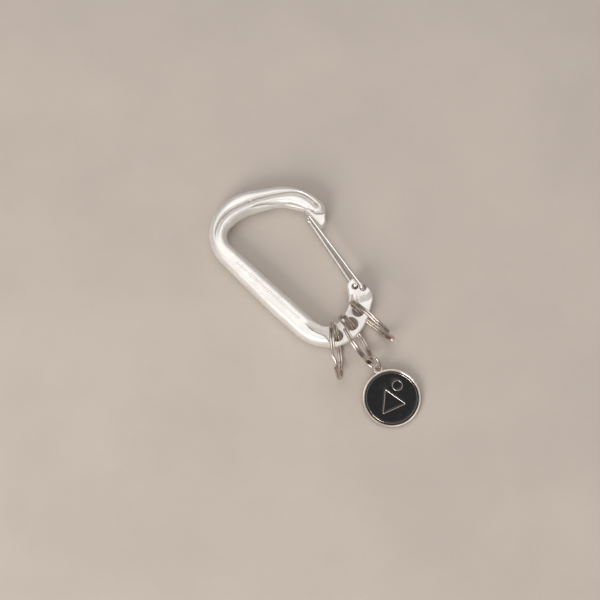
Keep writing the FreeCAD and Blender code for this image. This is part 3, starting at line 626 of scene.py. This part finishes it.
def black_enamel(colour):
    """Glossy soft enamel with fine dust, pinholes and a slow ripple."""
    material, tree, shader, where = new_material("Black Enamel")
    marks = placed_group(tree, "Handling Marks", where, Density=0.7)
    speck = ramp(tree, noise(tree, where, 5.0, 2.0), 0.70, 0.78)
    base = tinted(tree, colour, (marks["Smudge"], 0.5, (0.012, 0.012, 0.014)),
                  (speck, 0.25, (0.10, 0.09, 0.08)))
    rough = built_up(tree, 0.07, (marks["Smudge"], 0.06), (speck, 0.3))
    height = built_up(tree, noise(tree, where, 0.55, 2.0), (marks["Scratch"], -0.05))
    lay_finish(tree, shader, base, rough, height, 0.3, 0.015)
    shader.inputs["Specular IOR Level"].default_value = 0.38
    return material


def floor_finish(colour):
    """Plain pale matt floor with a trace of trowelled unevenness."""
    material, tree, shader, where = new_material("Pale Floor")
    cloud = ramp(tree, noise(tree, where, 0.012, 5.0, 0.6), 0.3, 0.7)
    base = tinted(tree, scaled(colour, 0.95), (cloud, 1.0, scaled(colour, 1.04)))
    lay_finish(tree, shader, base, 0.85, noise(tree, where, 0.9, 4.0), 0.25, 0.25)
    return material


# ---------------------------------------------------------------- the bar ----
def bar_half_height(places, sizes):
    """Height of the bar's face above its middle plane, mm, at places in plan."""
    full, tongue, web = (value / MM / 2 for value in (sizes.thickness, sizes.tongue, sizes.web))
    outline = np.vstack((rounded_path(OUTER_SIDE), rounded_path(INNER_SIDE)[::-1]))
    outline = np.vstack((outline, outline[:1]))
    away = distance_to(outline, places)[0]
    x, y = places[:, 0], places[:, 1]
    height = full * rounded_edge(away, sizes.rounding / MM, CROWN_POWER)

    groove = smooth_line(GROOVE_LINE)
    off, run = distance_to(groove, places)
    groove_run = along_path(groove)
    ahead = place_on(groove, groove_run, run + 0.1) - place_on(groove, groove_run, run - 0.1)
    aside = places - place_on(groove, groove_run, run)
    outward = (np.sign(ahead[:, 0] * aside[:, 1] - ahead[:, 1] * aside[:, 0]) * off
               - GROOVE_SHIFT)
    spread = np.where(outward > 0, GROOVE_OUTER, GROOVE_INNER)
    fade = ease(run / GROOVE_START) * ease((groove_run[-1] - run) / GROOVE_END)
    height -= GROOVE_DEPTH * fade * np.exp(-np.abs(outward / spread) ** 2.2) * (off < 5)

    lip = rounded_edge(away, LIP, LIP_POWER)
    leaf = tongue + LEAF_RISE * ease((LEAF_X - x) / LEAF_LENGTH)
    shelf = (leaf + SHELF_WALL * np.maximum(outside_by(SHELF, places), 0)) * lip
    height = soft_lower(height, np.where(y > -2, shelf, 99.0), 0.5)

    slope = RAMP_RISE * ease((y - RAMP_Y) / RAMP_LENGTH)
    spine_side = ease((12.5 - x) / 3.0)
    hinge = np.maximum(tongue - TONGUE_WALL * np.maximum(outside_by(TONGUE, places), 0), web)
    hinge = np.where(x > 9, hinge, web)
    floor = web + slope * spine_side + (hinge - web) * (1 - spine_side)
    wall = np.maximum(outside_by(RING_END, places), 0)
    height = soft_lower(height, np.where(y < -12, floor * lip + RING_WALL * wall, 99.0), 0.4)
    return np.maximum(height, 0)


def bar_stations(rows):
    """Facing pairs of places on the bar's outer and inner sides."""
    outer, inner = rounded_path(OUTER_SIDE, 0.2), rounded_path(INNER_SIDE, 0.2)
    outer_run, inner_run = along_path(outer), along_path(inner)
    outer_at, inner_at = [0.0], [0.0]
    for ox, oy, ix, iy in FACING:
        outer_at.append(nearest_run(outer, outer_run, (ox, oy)))
        inner_at.append(nearest_run(inner, inner_run, (ix, iy)))
    outer_at.append(outer_run[-1])
    inner_at.append(inner_run[-1])
    mean = (np.array(outer_at) * 0.6 + np.array(inner_at) * 0.4)
    even = np.linspace(0, mean[-1], rows)
    close = np.array([0.03, 0.08, 0.14, 0.22, 0.32, 0.44, 0.6, 0.8])
    spots = np.unique(np.concatenate((even, close, mean[-1] - close)))
    return (place_on(outer, outer_run, np.interp(spots, mean, outer_at)),
            place_on(inner, inner_run, np.interp(spots, mean, inner_at)))


def hole_cutters():
    """Cutters for the ring holes, pin holes and cross-bar notch, with broken edges."""
    holes = [(hole, WEB_HALF) for hole in WEB_HOLES]
    holes += [(hole, TONGUE_HALF) for hole in TONGUE_HOLES]
    far, cutters = 7.0, []
    for (x, y, radius), plate in holes:
        mouth = radius + BREAK_WIDTH
        profile = [(0.0, -far), (mouth, -far), (mouth, -plate - 0.1),
                   (radius, -plate + BREAK_DEPTH), (radius, plate - BREAK_DEPTH),
                   (mouth, plate + 0.1), (mouth, far), (0.0, far)]
        vertices, faces = revolved(profile, 72, closed=False)
        cutters.append(([(vx + x, vy + y, vz + MID) for vx, vy, vz in vertices], faces))
    return cutters


def cut_holes(bar):
    """Subtract the holes from the bar."""
    cutter = new_object("hole_cutters", *joined(hole_cutters()))
    tidy_mesh(cutter.data, 1e-6)
    drill = bar.modifiers.new("holes", "BOOLEAN")
    drill.operation = "DIFFERENCE"
    drill.solver = "EXACT"
    drill.object = cutter
    plain_copy(bar)
    bpy.data.objects.remove(cutter)
    shade(bar.data, 42)


class KEYRING_OT_forge_bar(bpy.types.Operator):
    """Forge the C-shaped bar with its groove, nose shelf, ring plate and holes"""
    bl_idname = "keyring.forge_bar"
    bl_label = "Forge Bar"

    def execute(self, context):
        sizes = context.scene.keyring_bar
        outer, inner = bar_stations(sizes.rows)
        count = sizes.columns
        even = np.linspace(0, 1, count + 1)
        across = 0.55 * (0.5 - 0.5 * np.cos(math.pi * even)) + 0.45 * even
        plan = outer[:, None] + (inner - outer)[:, None] * across[None, :, None]
        rows, columns = plan.shape[:2]
        height = bar_half_height(plan.reshape(-1, 2), sizes).reshape(rows, columns)
        edge = np.zeros((rows, columns), bool)
        edge[[0, -1]] = True
        edge[:, [0, -1]] = True
        height[edge] = 0
        top = np.dstack((plan, MID + height)).reshape(-1, 3)
        low = np.dstack((plan, MID - height)).reshape(-1, 3)
        index_top = np.arange(rows * columns).reshape(rows, columns)
        index_low = index_top.copy()
        index_low[~edge] = rows * columns + np.arange((~edge).sum())
        vertices = np.vstack((top, low[~edge.reshape(-1)]))
        faces = []
        for grid, flip in ((index_top, False), (index_low, True)):
            a, b = grid[:-1, :-1].ravel(), grid[1:, :-1].ravel()
            c, d = grid[1:, 1:].ravel(), grid[:-1, 1:].ravel()
            quads = np.stack((d, c, b, a) if flip else (a, b, c, d), 1)
            faces.extend(map(tuple, quads.tolist()))
        bar = new_object("forged_bar", vertices, faces)
        tidy_mesh(bar.data)
        cut_holes(bar)
        colour = tuple(context.scene.keyring_finish.bar)
        finish_piece(bar, "frame", blasted_aluminium(colour), ["carabiner_frame"])
        return {"FINISHED"}


# ------------------------------------------------------------ spine ribs ----
def painted_end(tree, geometry, given, made):
    """End a geometry tree with a real mesh in the material it was given."""
    real = add_node(tree, "GeometryNodeRealizeInstances", {"Geometry": geometry})
    paint = add_node(tree, "GeometryNodeSetMaterial",
                     {"Geometry": real.outputs["Geometry"], "Material": given["Material"]})
    feed(tree, made["Geometry"], paint.outputs["Geometry"])


def rib_tree():
    """Geometry nodes: small rounded ribs set along a line."""
    tree, given, made = named_tree(
        "Grip Ribs", "GeometryNodeTree",
        [("Geometry", "Geometry", None), ("Count", "Int", 20), ("Rib Length", "Float", 2.0 * MM),
         ("Rib Width", "Float", 0.5 * MM), ("Rise", "Float", 0.1 * MM), ("Seed", "Int", 4),
         ("Material", "Material", None)], [("Geometry", "Geometry")])
    spread = add_node(tree, "GeometryNodeResampleCurve",
                      {"Curve": given["Geometry"], "Count": given["Count"]})
    ball = add_node(tree, "GeometryNodeMeshUVSphere", {"Segments": 20, "Rings": 10, "Radius": 0.5})
    shape = add_node(tree, "ShaderNodeCombineXYZ",
                     {"X": given["Rib Length"], "Y": given["Rib Width"], "Z": given["Rise"]})
    vary = add_node(tree, "FunctionNodeRandomValue", {2: 0.45, 3: 1.0, "Seed": given["Seed"]},
                    data_type="FLOAT")
    widths = add_node(tree, "ShaderNodeCombineXYZ", {"X": vary.outputs[1], "Y": 1.0, "Z": 1.0})
    stretch = add_node(tree, "ShaderNodeVectorMath",
                       {0: shape.outputs["Vector"], 1: widths.outputs["Vector"]},
                       operation="MULTIPLY")
    place = add_node(tree, "GeometryNodeInstanceOnPoints",
                     {"Points": spread.outputs["Curve"], "Instance": ball.outputs["Mesh"],
                      "Scale": stretch.outputs["Vector"]})
    painted_end(tree, place.outputs["Instances"], given, made)
    return tree


def run_tree(item, tree, inputs):
    """Put a geometry tree on an object, its inputs set by their sockets' identifiers."""
    modifier = item.modifiers.new(tree.name, "NODES")
    modifier.node_group = tree
    sockets = {socket.name: socket.identifier for socket in tree.interface.items_tree
               if socket.item_type == "SOCKET" and socket.in_out == "INPUT"}
    for label, value in inputs.items():
        modifier[sockets[label]] = value


class KEYRING_OT_raise_ribs(bpy.types.Operator):
    """Raise a row of low grip ribs along the spine's upper face"""
    bl_idname = "keyring.raise_ribs"
    bl_label = "Raise Ribs"

    def execute(self, context):
        material = bpy.data.materials["Blasted Aluminium"]
        curve = bpy.data.curves.new("rib_line", "CURVE")
        curve.dimensions = "3D"
        line = curve.splines.new("POLY")
        line.points.add(1)
        for point, (x, y) in zip(line.points, RIB_ENDS):
            point.co = (x * MM, y * MM, (2 * MID - 0.02) * MM, 1)
        item = bpy.data.objects.new("rib_line", curve)
        context.scene.collection.objects.link(item)
        run_tree(item, rib_tree(),
                 {"Count": context.scene.keyring_wire.ribs, "Rib Length": 2.3 * MM,
                  "Rib Width": 0.55 * MM, "Rise": 0.34 * MM, "Seed": 4, "Material": material})
        mesh = evaluated_mesh(item)
        bpy.data.objects.remove(item)
        vertices = [np.array(vertex.co) / MM for vertex in mesh.vertices]
        faces = [tuple(polygon.vertices) for polygon in mesh.polygons]
        if not faces:
            raise RuntimeError("the grip ribs came out empty")
        ribs = new_object("spine_grip_ribs", vertices, faces)
        finish_piece(ribs, "frame", material)
        return {"FINISHED"}


# ------------------------------------------------------------------- gate ----
class KEYRING_OT_bend_gate(bpy.types.Operator):
    """Bend the wire gate: pin, leg, cross-bar, leg and pin"""
    bl_idname = "keyring.bend_gate"
    bl_label = "Bend Gate"

    def execute(self, context):
        sizes = context.scene.keyring_wire
        radius = sizes.gate / MM / 2
        leg, pin = 2.4 + 0.3 + radius, 2.2 - 0.25       # legs and pin ends from the middle
        pivot, offset, cross = map(np.array, (GATE_PIVOT, PIN_OFFSET, CROSS_BAR))
        up = np.array((0, 0, 1.0))
        front, rear = pivot + offset, pivot - offset
        path = bent_path([front - up * pin, front + up * leg, cross + up * leg,
                          cross - up * leg, rear - up * leg, rear + up * pin],
                         [1.3, 1.6, 1.6, 1.3])
        gate = swept_tube("gate_wire", path, radius)
        colour = tuple(context.scene.keyring_finish.gate)
        finish_piece(gate, "gate",
                     polished_wire("Polished Stainless", colour, scaled(colour, 0.88), 0.14, 0.9),
                     ["wire_gate"])
        return {"FINISHED"}


# ------------------------------------------------------------------ rings ----
def coil_tree():
    """Geometry nodes: a flat wire wound two turns, stepping over at a jog."""
    tree, given, made = named_tree(
        "Split Ring Coils", "GeometryNodeTree",
        [("Mean Radius", "Float", RING_RADIUS * MM), ("Pitch", "Float", MM),
         ("Coil Width", "Float", 1.4 * MM), ("Coil Height", "Float", MM),
         ("Corner", "Float", 0.3 * MM), ("Jog Share", "Float", 0.02), ("Sweep", "Float", 12.0),
         ("Points", "Int", 400), ("Material", "Material", None)], [("Geometry", "Geometry")])
    line = tree.nodes.new("GeometryNodeCurvePrimitiveLine")
    spread = add_node(tree, "GeometryNodeResampleCurve",
                      {"Curve": line.outputs["Curve"], "Count": given["Points"]})
    number = tree.nodes.new("GeometryNodeInputIndex").outputs[0]
    share = maths(tree, "DIVIDE", number, maths(tree, "SUBTRACT", given["Points"], 1))
    angle = maths(tree, "MULTIPLY", maths(tree, "SUBTRACT", share, 0.5), given["Sweep"])
    step = add_node(tree, "ShaderNodeMapRange",
                    {"Value": share, "From Min": maths(tree, "SUBTRACT", 0.5, given["Jog Share"]),
                     "From Max": maths(tree, "ADD", 0.5, given["Jog Share"]),
                     "To Min": -0.5, "To Max": 0.5}, interpolation_type="SMOOTHERSTEP")
    across, along = (maths(tree, "MULTIPLY", maths(tree, wave, angle, 0), given["Mean Radius"])
                     for wave in ("COSINE", "SINE"))
    over = maths(tree, "MULTIPLY", step.outputs["Result"], given["Pitch"])
    spot = add_node(tree, "ShaderNodeCombineXYZ", {"X": across, "Y": along, "Z": over})
    wind = add_node(tree, "GeometryNodeSetPosition",
                    {"Geometry": spread.outputs["Curve"], "Position": spot.outputs["Vector"]})
    upright = add_node(tree, "GeometryNodeSetCurveNormal", {"Curve": wind.outputs["Geometry"]},
                       mode="Z_UP")
    bar = add_node(tree, "GeometryNodeCurvePrimitiveQuadrilateral",
                   {"Width": given["Coil Width"], "Height": given["Coil Height"]})
    corners = add_node(tree, "GeometryNodeFilletCurve",
                       {"Curve": bar.outputs["Curve"], "Count": 4, "Radius": given["Corner"]},
                       mode="POLY")
    solid = add_node(tree, "GeometryNodeCurveToMesh",
                     {"Curve": upright.outputs["Curve"], "Fill Caps": True,
                      "Profile Curve": corners.outputs["Curve"]})
    painted_end(tree, solid.outputs["Mesh"], given, made)
    return tree


def ring_stand(node, split_at):
    """Placement of a ring from its node, turned so its split faces an angle.

    split_at is measured in the ring's plane, in degrees up from the level
    direction that points away from the carabiner.
    """
    points = np.array([vertex.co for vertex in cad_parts[node].data.vertices])
    middle = (points.max(0) + points.min(0)) / 2
    axis = np.linalg.svd(points - points.mean(0), full_matrices=False)[2][2]
    if abs(axis[0]) > 1e-6 and axis[0] < 0:
        axis = -axis
    level = np.cross(axis, (0, 0, 1))
    level /= np.linalg.norm(level)
    if level[1] > 0:
        level = -level
    rise = np.cross(level, axis)
    if rise[2] < 0:
        rise = -rise
    flat = np.stack(((points - middle) @ level, (points - middle) @ rise), 1)
    shift = (flat.max(0) + flat.min(0)) / 2
    deep = (points - middle) @ axis
    centre = middle + level * shift[0] + rise * shift[1] + axis * (deep.max() + deep.min()) / 2
    angle = math.radians(split_at)
    first = level * math.cos(angle) + rise * math.sin(angle)
    return placement(first, np.cross(axis, first), axis, centre)


class KEYRING_OT_wind_rings(bpy.types.Operator):
    """Wind the three split rings and stand them in their holes"""
    bl_idname = "keyring.wind_rings"
    bl_label = "Wind Split Rings"

    def execute(self, context):
        sizes = context.scene.keyring_wire
        colour = tuple(context.scene.keyring_finish.ring)
        # The tint (0.54, 0.46, 0.43) is a painted brownish reflection, mixed in slow patches over
        # the nickel.
        material = polished_wire("Nickel Plate", colour, (0.54, 0.46, 0.43), 0.12, 1.1)
        tree = coil_tree()
        jog, gap = math.radians(26), math.radians(5)
        sweep = 4 * math.pi - jog - 2 * gap
        for place, split_at in (("left", 62), ("middle", 128), ("right", 20)):
            name = f"ring_{place}"
            ring = bpy.data.objects.new(name, bpy.data.meshes.new(name))
            context.scene.collection.objects.link(ring)
            run_tree(ring, tree,
                     {"Mean Radius": RING_RADIUS * MM, "Pitch": MM, "Coil Width": sizes.coil_width,
                      "Coil Height": sizes.coil_height, "Corner": 0.34 * MM,
                      "Jog Share": jog / sweep / 2, "Sweep": sweep, "Points": 420,
                      "Material": material})
            plain_copy(ring)
            if not ring.data.polygons:
                raise RuntimeError(f"the {place} split ring came out empty")
            ring.data.transform(ring_stand(f"split_{name}", split_at))
            tidy_mesh(ring.data, 1e-8)
            shade(ring.data, 40)
            finish_piece(ring, name, material, [f"split_{name}"])
        return {"FINISHED"}


class KEYRING_OT_close_jump_ring(bpy.types.Operator):
    """Close the jump ring through the middle split ring and the charm's eye"""
    bl_idname = "keyring.close_jump_ring"
    bl_label = "Close Jump Ring"

    def execute(self, context):
        radius = context.scene.keyring_wire.jump / MM / 2
        axis = np.array(JUMP_AXIS)
        axis /= np.linalg.norm(axis)
        side = np.cross(axis, (0, 0, 1))
        side /= np.linalg.norm(side)
        other = np.cross(axis, side)
        angles = np.radians(np.linspace(4.5, 353.0, 110))
        path = np.array([JUMP_CENTRE + JUMP_RADIUS * (math.cos(angle) * side
                                                      + math.sin(angle) * other)
                         for angle in angles])
        link = swept_tube("jump_ring_wire", path, radius, 24, 0.12)
        # The jump ring's tint (0.60, 0.55, 0.50) is a painted brownish reflection, mixed in slow
        # patches.
        colour = tuple(context.scene.keyring_finish.ring)
        finish_piece(link, "link",
                     polished_wire("Jump Ring Nickel", scaled(colour, 1.15), (0.60, 0.55, 0.50),
                                   0.14, 1.0), ["jump_ring"])
        return {"FINISHED"}


# ------------------------------------------------------------------ charm ----
def charm_place():
    """Charm frame: Y towards its eye, Z out of its face, in metres."""
    along = Vector((math.cos(CHARM_HEADING), math.sin(CHARM_HEADING), 0))
    up = Vector((0, 0, 1))
    eye = along * math.cos(CHARM_TILT) + up * math.sin(CHARM_TILT)
    face = up * math.cos(CHARM_TILT) - along * math.sin(CHARM_TILT)
    centre = (*CHARM_CENTRE, CHARM_RADIUS * math.sin(CHARM_TILT))
    return placement(eye.cross(face), eye, face, [value * MM for value in centre])


def emblem_lines():
    """Closed centre lines of the raised metal: border ring, peak and sun."""
    turns = np.linspace(0, 2 * math.pi, 181)
    circle = np.stack((np.cos(turns), np.sin(turns)), 1)
    peak = [(PEAK_CENTRE[0] + PEAK_REACH * math.cos(math.radians(angle)),
             PEAK_CENTRE[1] + PEAK_REACH * math.sin(math.radians(angle)), 0.25)
            for angle in (90, 210, 330)]
    return [BORDER_RADIUS * circle, SUN_CENTRE + SUN_RADIUS * circle[::3],
            rounded_path(peak, 0.05, closed=True)]


def raised_line(path, width, low, high):
    """Vertices and faces of a rounded rib that follows a closed plan line."""
    points = path[:-1] if np.allclose(path[0], path[-1]) else path
    keep = [0]
    for index in range(1, len(points)):
        if np.linalg.norm(points[index] - points[keep[-1]]) > 0.02:
            keep.append(index)
    points = points[keep]
    ahead = np.roll(points, -1, 0) - np.roll(points, 1, 0)
    ahead /= np.linalg.norm(ahead, axis=1)[:, None]
    normal = np.stack((ahead[:, 1], -ahead[:, 0]), 1)
    half = width / 2
    section = [(-half, low), (-half, high - 0.18), (-half * 0.72, high - 0.05), (0, high),
               (half * 0.72, high - 0.05), (half, high - 0.18), (half, low)]
    vertices = [(*(point + side * out), level) for point, side in zip(points, normal)
                for out, level in section]
    return vertices, bands(len(points), len(section), flip=True)


class KEYRING_OT_strike_charm(bpy.types.Operator):
    """Strike the charm's disc, rim, emblem lines and eye, and fill it with enamel"""
    bl_idname = "keyring.strike_charm"
    bl_label = "Strike Charm"

    def execute(self, context):
        rim_in, floor, top = CHARM_RADIUS - CHARM_RIM, CHARM_WELL - 0.12, CHARM_TOP
        profile = [(0.02, floor), (rim_in, floor), (rim_in, top - 0.26), (rim_in + 0.2, top - 0.16),
                   (rim_in + 0.45, top - 0.03), (CHARM_RADIUS - 0.34, top),
                   (CHARM_RADIUS - 0.12, top - 0.08), (CHARM_RADIUS, top - 0.32),
                   (CHARM_RADIUS, 0.32), (CHARM_RADIUS - 0.10, 0.10), (CHARM_RADIUS - 0.34, 0.0),
                   (0.02, 0.0)]
        pieces = [revolved(profile, 200)]
        for path, width, crest in zip(emblem_lines(), (0.2, 0.3, 0.3), (0.08, 0.03, 0.03)):
            pieces.append(raised_line(path, width, floor - 0.2, top - crest))
        eye, eye_faces = revolved(rounded_box_profile(1.25, 2.05, 0.4, 1.4, 0.26), 72)
        pieces.append(([(x, y + 13.9, z) for x, y, z in eye], eye_faces))
        charm = new_object("charm_body", *joined(pieces))
        tidy_mesh(charm.data, 1e-8)
        charm.data.transform(charm_place())
        shade(charm.data, 40)
        colour = scaled(tuple(context.scene.keyring_finish.ring), 1.1)
        finish_piece(charm, "charm",
                     polished_wire("Charm Nickel", colour, scaled(colour, 0.82), 0.17, 0.8),
                     ["charm_disc"])
        self.pour_enamel(context)
        return {"FINISHED"}

    @staticmethod
    def pour_enamel(context):
        """One enamel surface that climbs a little where it meets the metal."""
        radii = np.concatenate((np.linspace(0.0, 10.2, 70)[1:], np.linspace(10.25, 11.5, 22)))
        turns = np.linspace(0, 2 * math.pi, 240, endpoint=False)
        plan = np.array([(0.0, 0.0)] + [(radius * math.cos(turn), radius * math.sin(turn))
                                        for radius in radii for turn in turns])
        nearest = (CHARM_RADIUS - CHARM_RIM) - np.linalg.norm(plan, axis=1)
        for path in emblem_lines():
            nearest = np.minimum(nearest, np.maximum(distance_to(path, plan)[0] - 0.2, 0))
        level = CHARM_WELL + 0.30 + 0.07 * np.exp(-nearest / 0.2)
        level -= 0.05 * np.clip(nearest / 3.0, 0, 1)
        vertices = [(*place, height) for place, height in zip(plan, level)]
        count = len(turns)
        faces = [(0, 1 + side, 1 + (side + 1) % count) for side in range(count)]
        faces += bands(len(radii), count, along=False, first=1)
        rim = [1 + (len(radii) - 1) * count + side for side in range(count)]
        base = len(vertices)
        for index in rim:
            vertices.append((*plan[index], CHARM_WELL - 0.1))
        vertices.append((0.0, 0.0, CHARM_WELL - 0.1))
        for side in range(count):
            after = (side + 1) % count
            faces.append((rim[side], base + side, base + after, rim[after]))
            faces.append((base + side, len(vertices) - 1, base + after))
        enamel = new_object("charm_enamel", vertices, faces)
        tidy_mesh(enamel.data)
        enamel.data.transform(charm_place())
        shade(enamel.data, 60)
        finish_piece(enamel, "charm",
                     black_enamel(tuple(context.scene.keyring_finish.enamel)),
                     ["enamel_border", "enamel_field", "enamel_peak", "enamel_sun"])


# ------------------------------------------------------------------ stage ----
def soft_light(name, place, target, width, power, colour):
    """Square area light aimed at a target."""
    light = bpy.data.lights.new(name, "AREA")
    light.shape = "SQUARE"
    light.size = width
    light.energy = power
    light.color = colour
    item = bpy.data.objects.new(name, light)
    item.location = place
    item.rotation_euler = (Vector(place) - Vector(target)).to_track_quat("Z", "Y").to_euler()
    bpy.context.scene.collection.objects.link(item)


def studio_world():
    """Pale surroundings, bright overhead and dim along the horizon."""
    world = bpy.data.worlds.new("studio")
    world.use_nodes = True
    tree = world.node_tree
    where = tree.nodes.new("ShaderNodeTexCoord").outputs["Generated"]
    split = add_node(tree, "ShaderNodeSeparateXYZ", {"Vector": where})
    height = ramp(tree, split.outputs["Z"], 0.15, 0.75)
    feed(tree, tree.nodes["Background"].inputs["Color"],
         mix_colour(tree, height, (0.2, 0.18, 0.165), (0.62, 0.60, 0.575)))
    return world


class KEYRING_OT_set_stage(bpy.types.Operator):
    """Lay the pale floor and set the soft lights and the camera"""
    bl_idname = "keyring.set_stage"
    bl_label = "Set Stage"

    def execute(self, context):
        scene, stage = context.scene, context.scene.keyring_stage
        target = Vector(AIM) * MM
        mesh = bpy.data.meshes.new("pale_floor")
        corners = [(x * FLOOR_REACH, y * FLOOR_REACH, FLOOR_LEVEL)
                   for x, y in ((-1, -1), (1, -1), (1, 1), (-1, 1))]
        mesh.from_pydata(corners, [], [(0, 1, 2, 3)])
        floor = bpy.data.objects.new("pale_floor", mesh)
        mesh.materials.append(floor_finish(tuple(scene.keyring_finish.floor)))
        scene.collection.objects.link(floor)

        flat = Vector(CAMERA_SIDE).normalized()
        way = flat * math.cos(stage.elevation) + Vector((0, 0, 1)) * math.sin(stage.elevation)
        camera = bpy.data.objects.new("camera", bpy.data.cameras.new("camera"))
        camera.data.lens = stage.lens
        camera.data.sensor_width = 36.0
        camera.location = target + way * stage.distance
        camera.rotation_euler = way.to_track_quat("Z", "Y").to_euler()
        scene.collection.objects.link(camera)
        scene.camera = camera

        soft_light("key_softbox", (-0.95, -0.25, 0.62), target, 0.6, stage.key,
                   (1.0, 0.965, 0.92))
        soft_light("top_softbox", (0.15, 0.35, 1.15), target, 0.9, stage.key * 0.35,
                   (1.0, 0.98, 0.96))
        scene.world = studio_world()
        scene.view_settings.view_transform = "Standard"
        return {"FINISHED"}


class KEYRING_PT_sidebar(bpy.types.Panel):
    """Build steps and sizes of the keyring"""
    bl_idname = "KEYRING_PT_sidebar"
    bl_label = "Carabiner Keyring"
    bl_space_type = "VIEW_3D"
    bl_region_type = "UI"
    bl_category = "Keyring"

    def draw(self, context):
        scene = context.scene
        for group in (scene.keyring_bar, scene.keyring_wire, scene.keyring_finish,
                      scene.keyring_stage):
            box = self.layout.box()
            for label in group.__annotations__:
                box.prop(group, label)
        for step in STEPS:
            self.layout.operator(step.bl_idname)


STEPS = (KEYRING_OT_forge_bar, KEYRING_OT_raise_ribs, KEYRING_OT_bend_gate,
         KEYRING_OT_wind_rings, KEYRING_OT_close_jump_ring, KEYRING_OT_strike_charm,
         KEYRING_OT_set_stage)
GROUPS = (("keyring_bar", KEYRING_PG_bar), ("keyring_wire", KEYRING_PG_wire),
          ("keyring_finish", KEYRING_PG_finish), ("keyring_stage", KEYRING_PG_stage))


def register():
    for label, group in GROUPS:
        bpy.utils.register_class(group)
        setattr(bpy.types.Scene, label, PointerProperty(type=group))
    for item in (*STEPS, KEYRING_PT_sidebar):
        bpy.utils.register_class(item)


def unregister():
    for item in reversed((*STEPS, KEYRING_PT_sidebar)):
        bpy.utils.unregister_class(item)
    for label, group in reversed(GROUPS):
        delattr(bpy.types.Scene, label)
        bpy.utils.unregister_class(group)


def main():
    """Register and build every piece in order."""
    register()
    for step in STEPS:
        family, name = step.bl_idname.split(".")
        getattr(getattr(bpy.ops, family), name)()


if __name__ == "__main__":
    main()
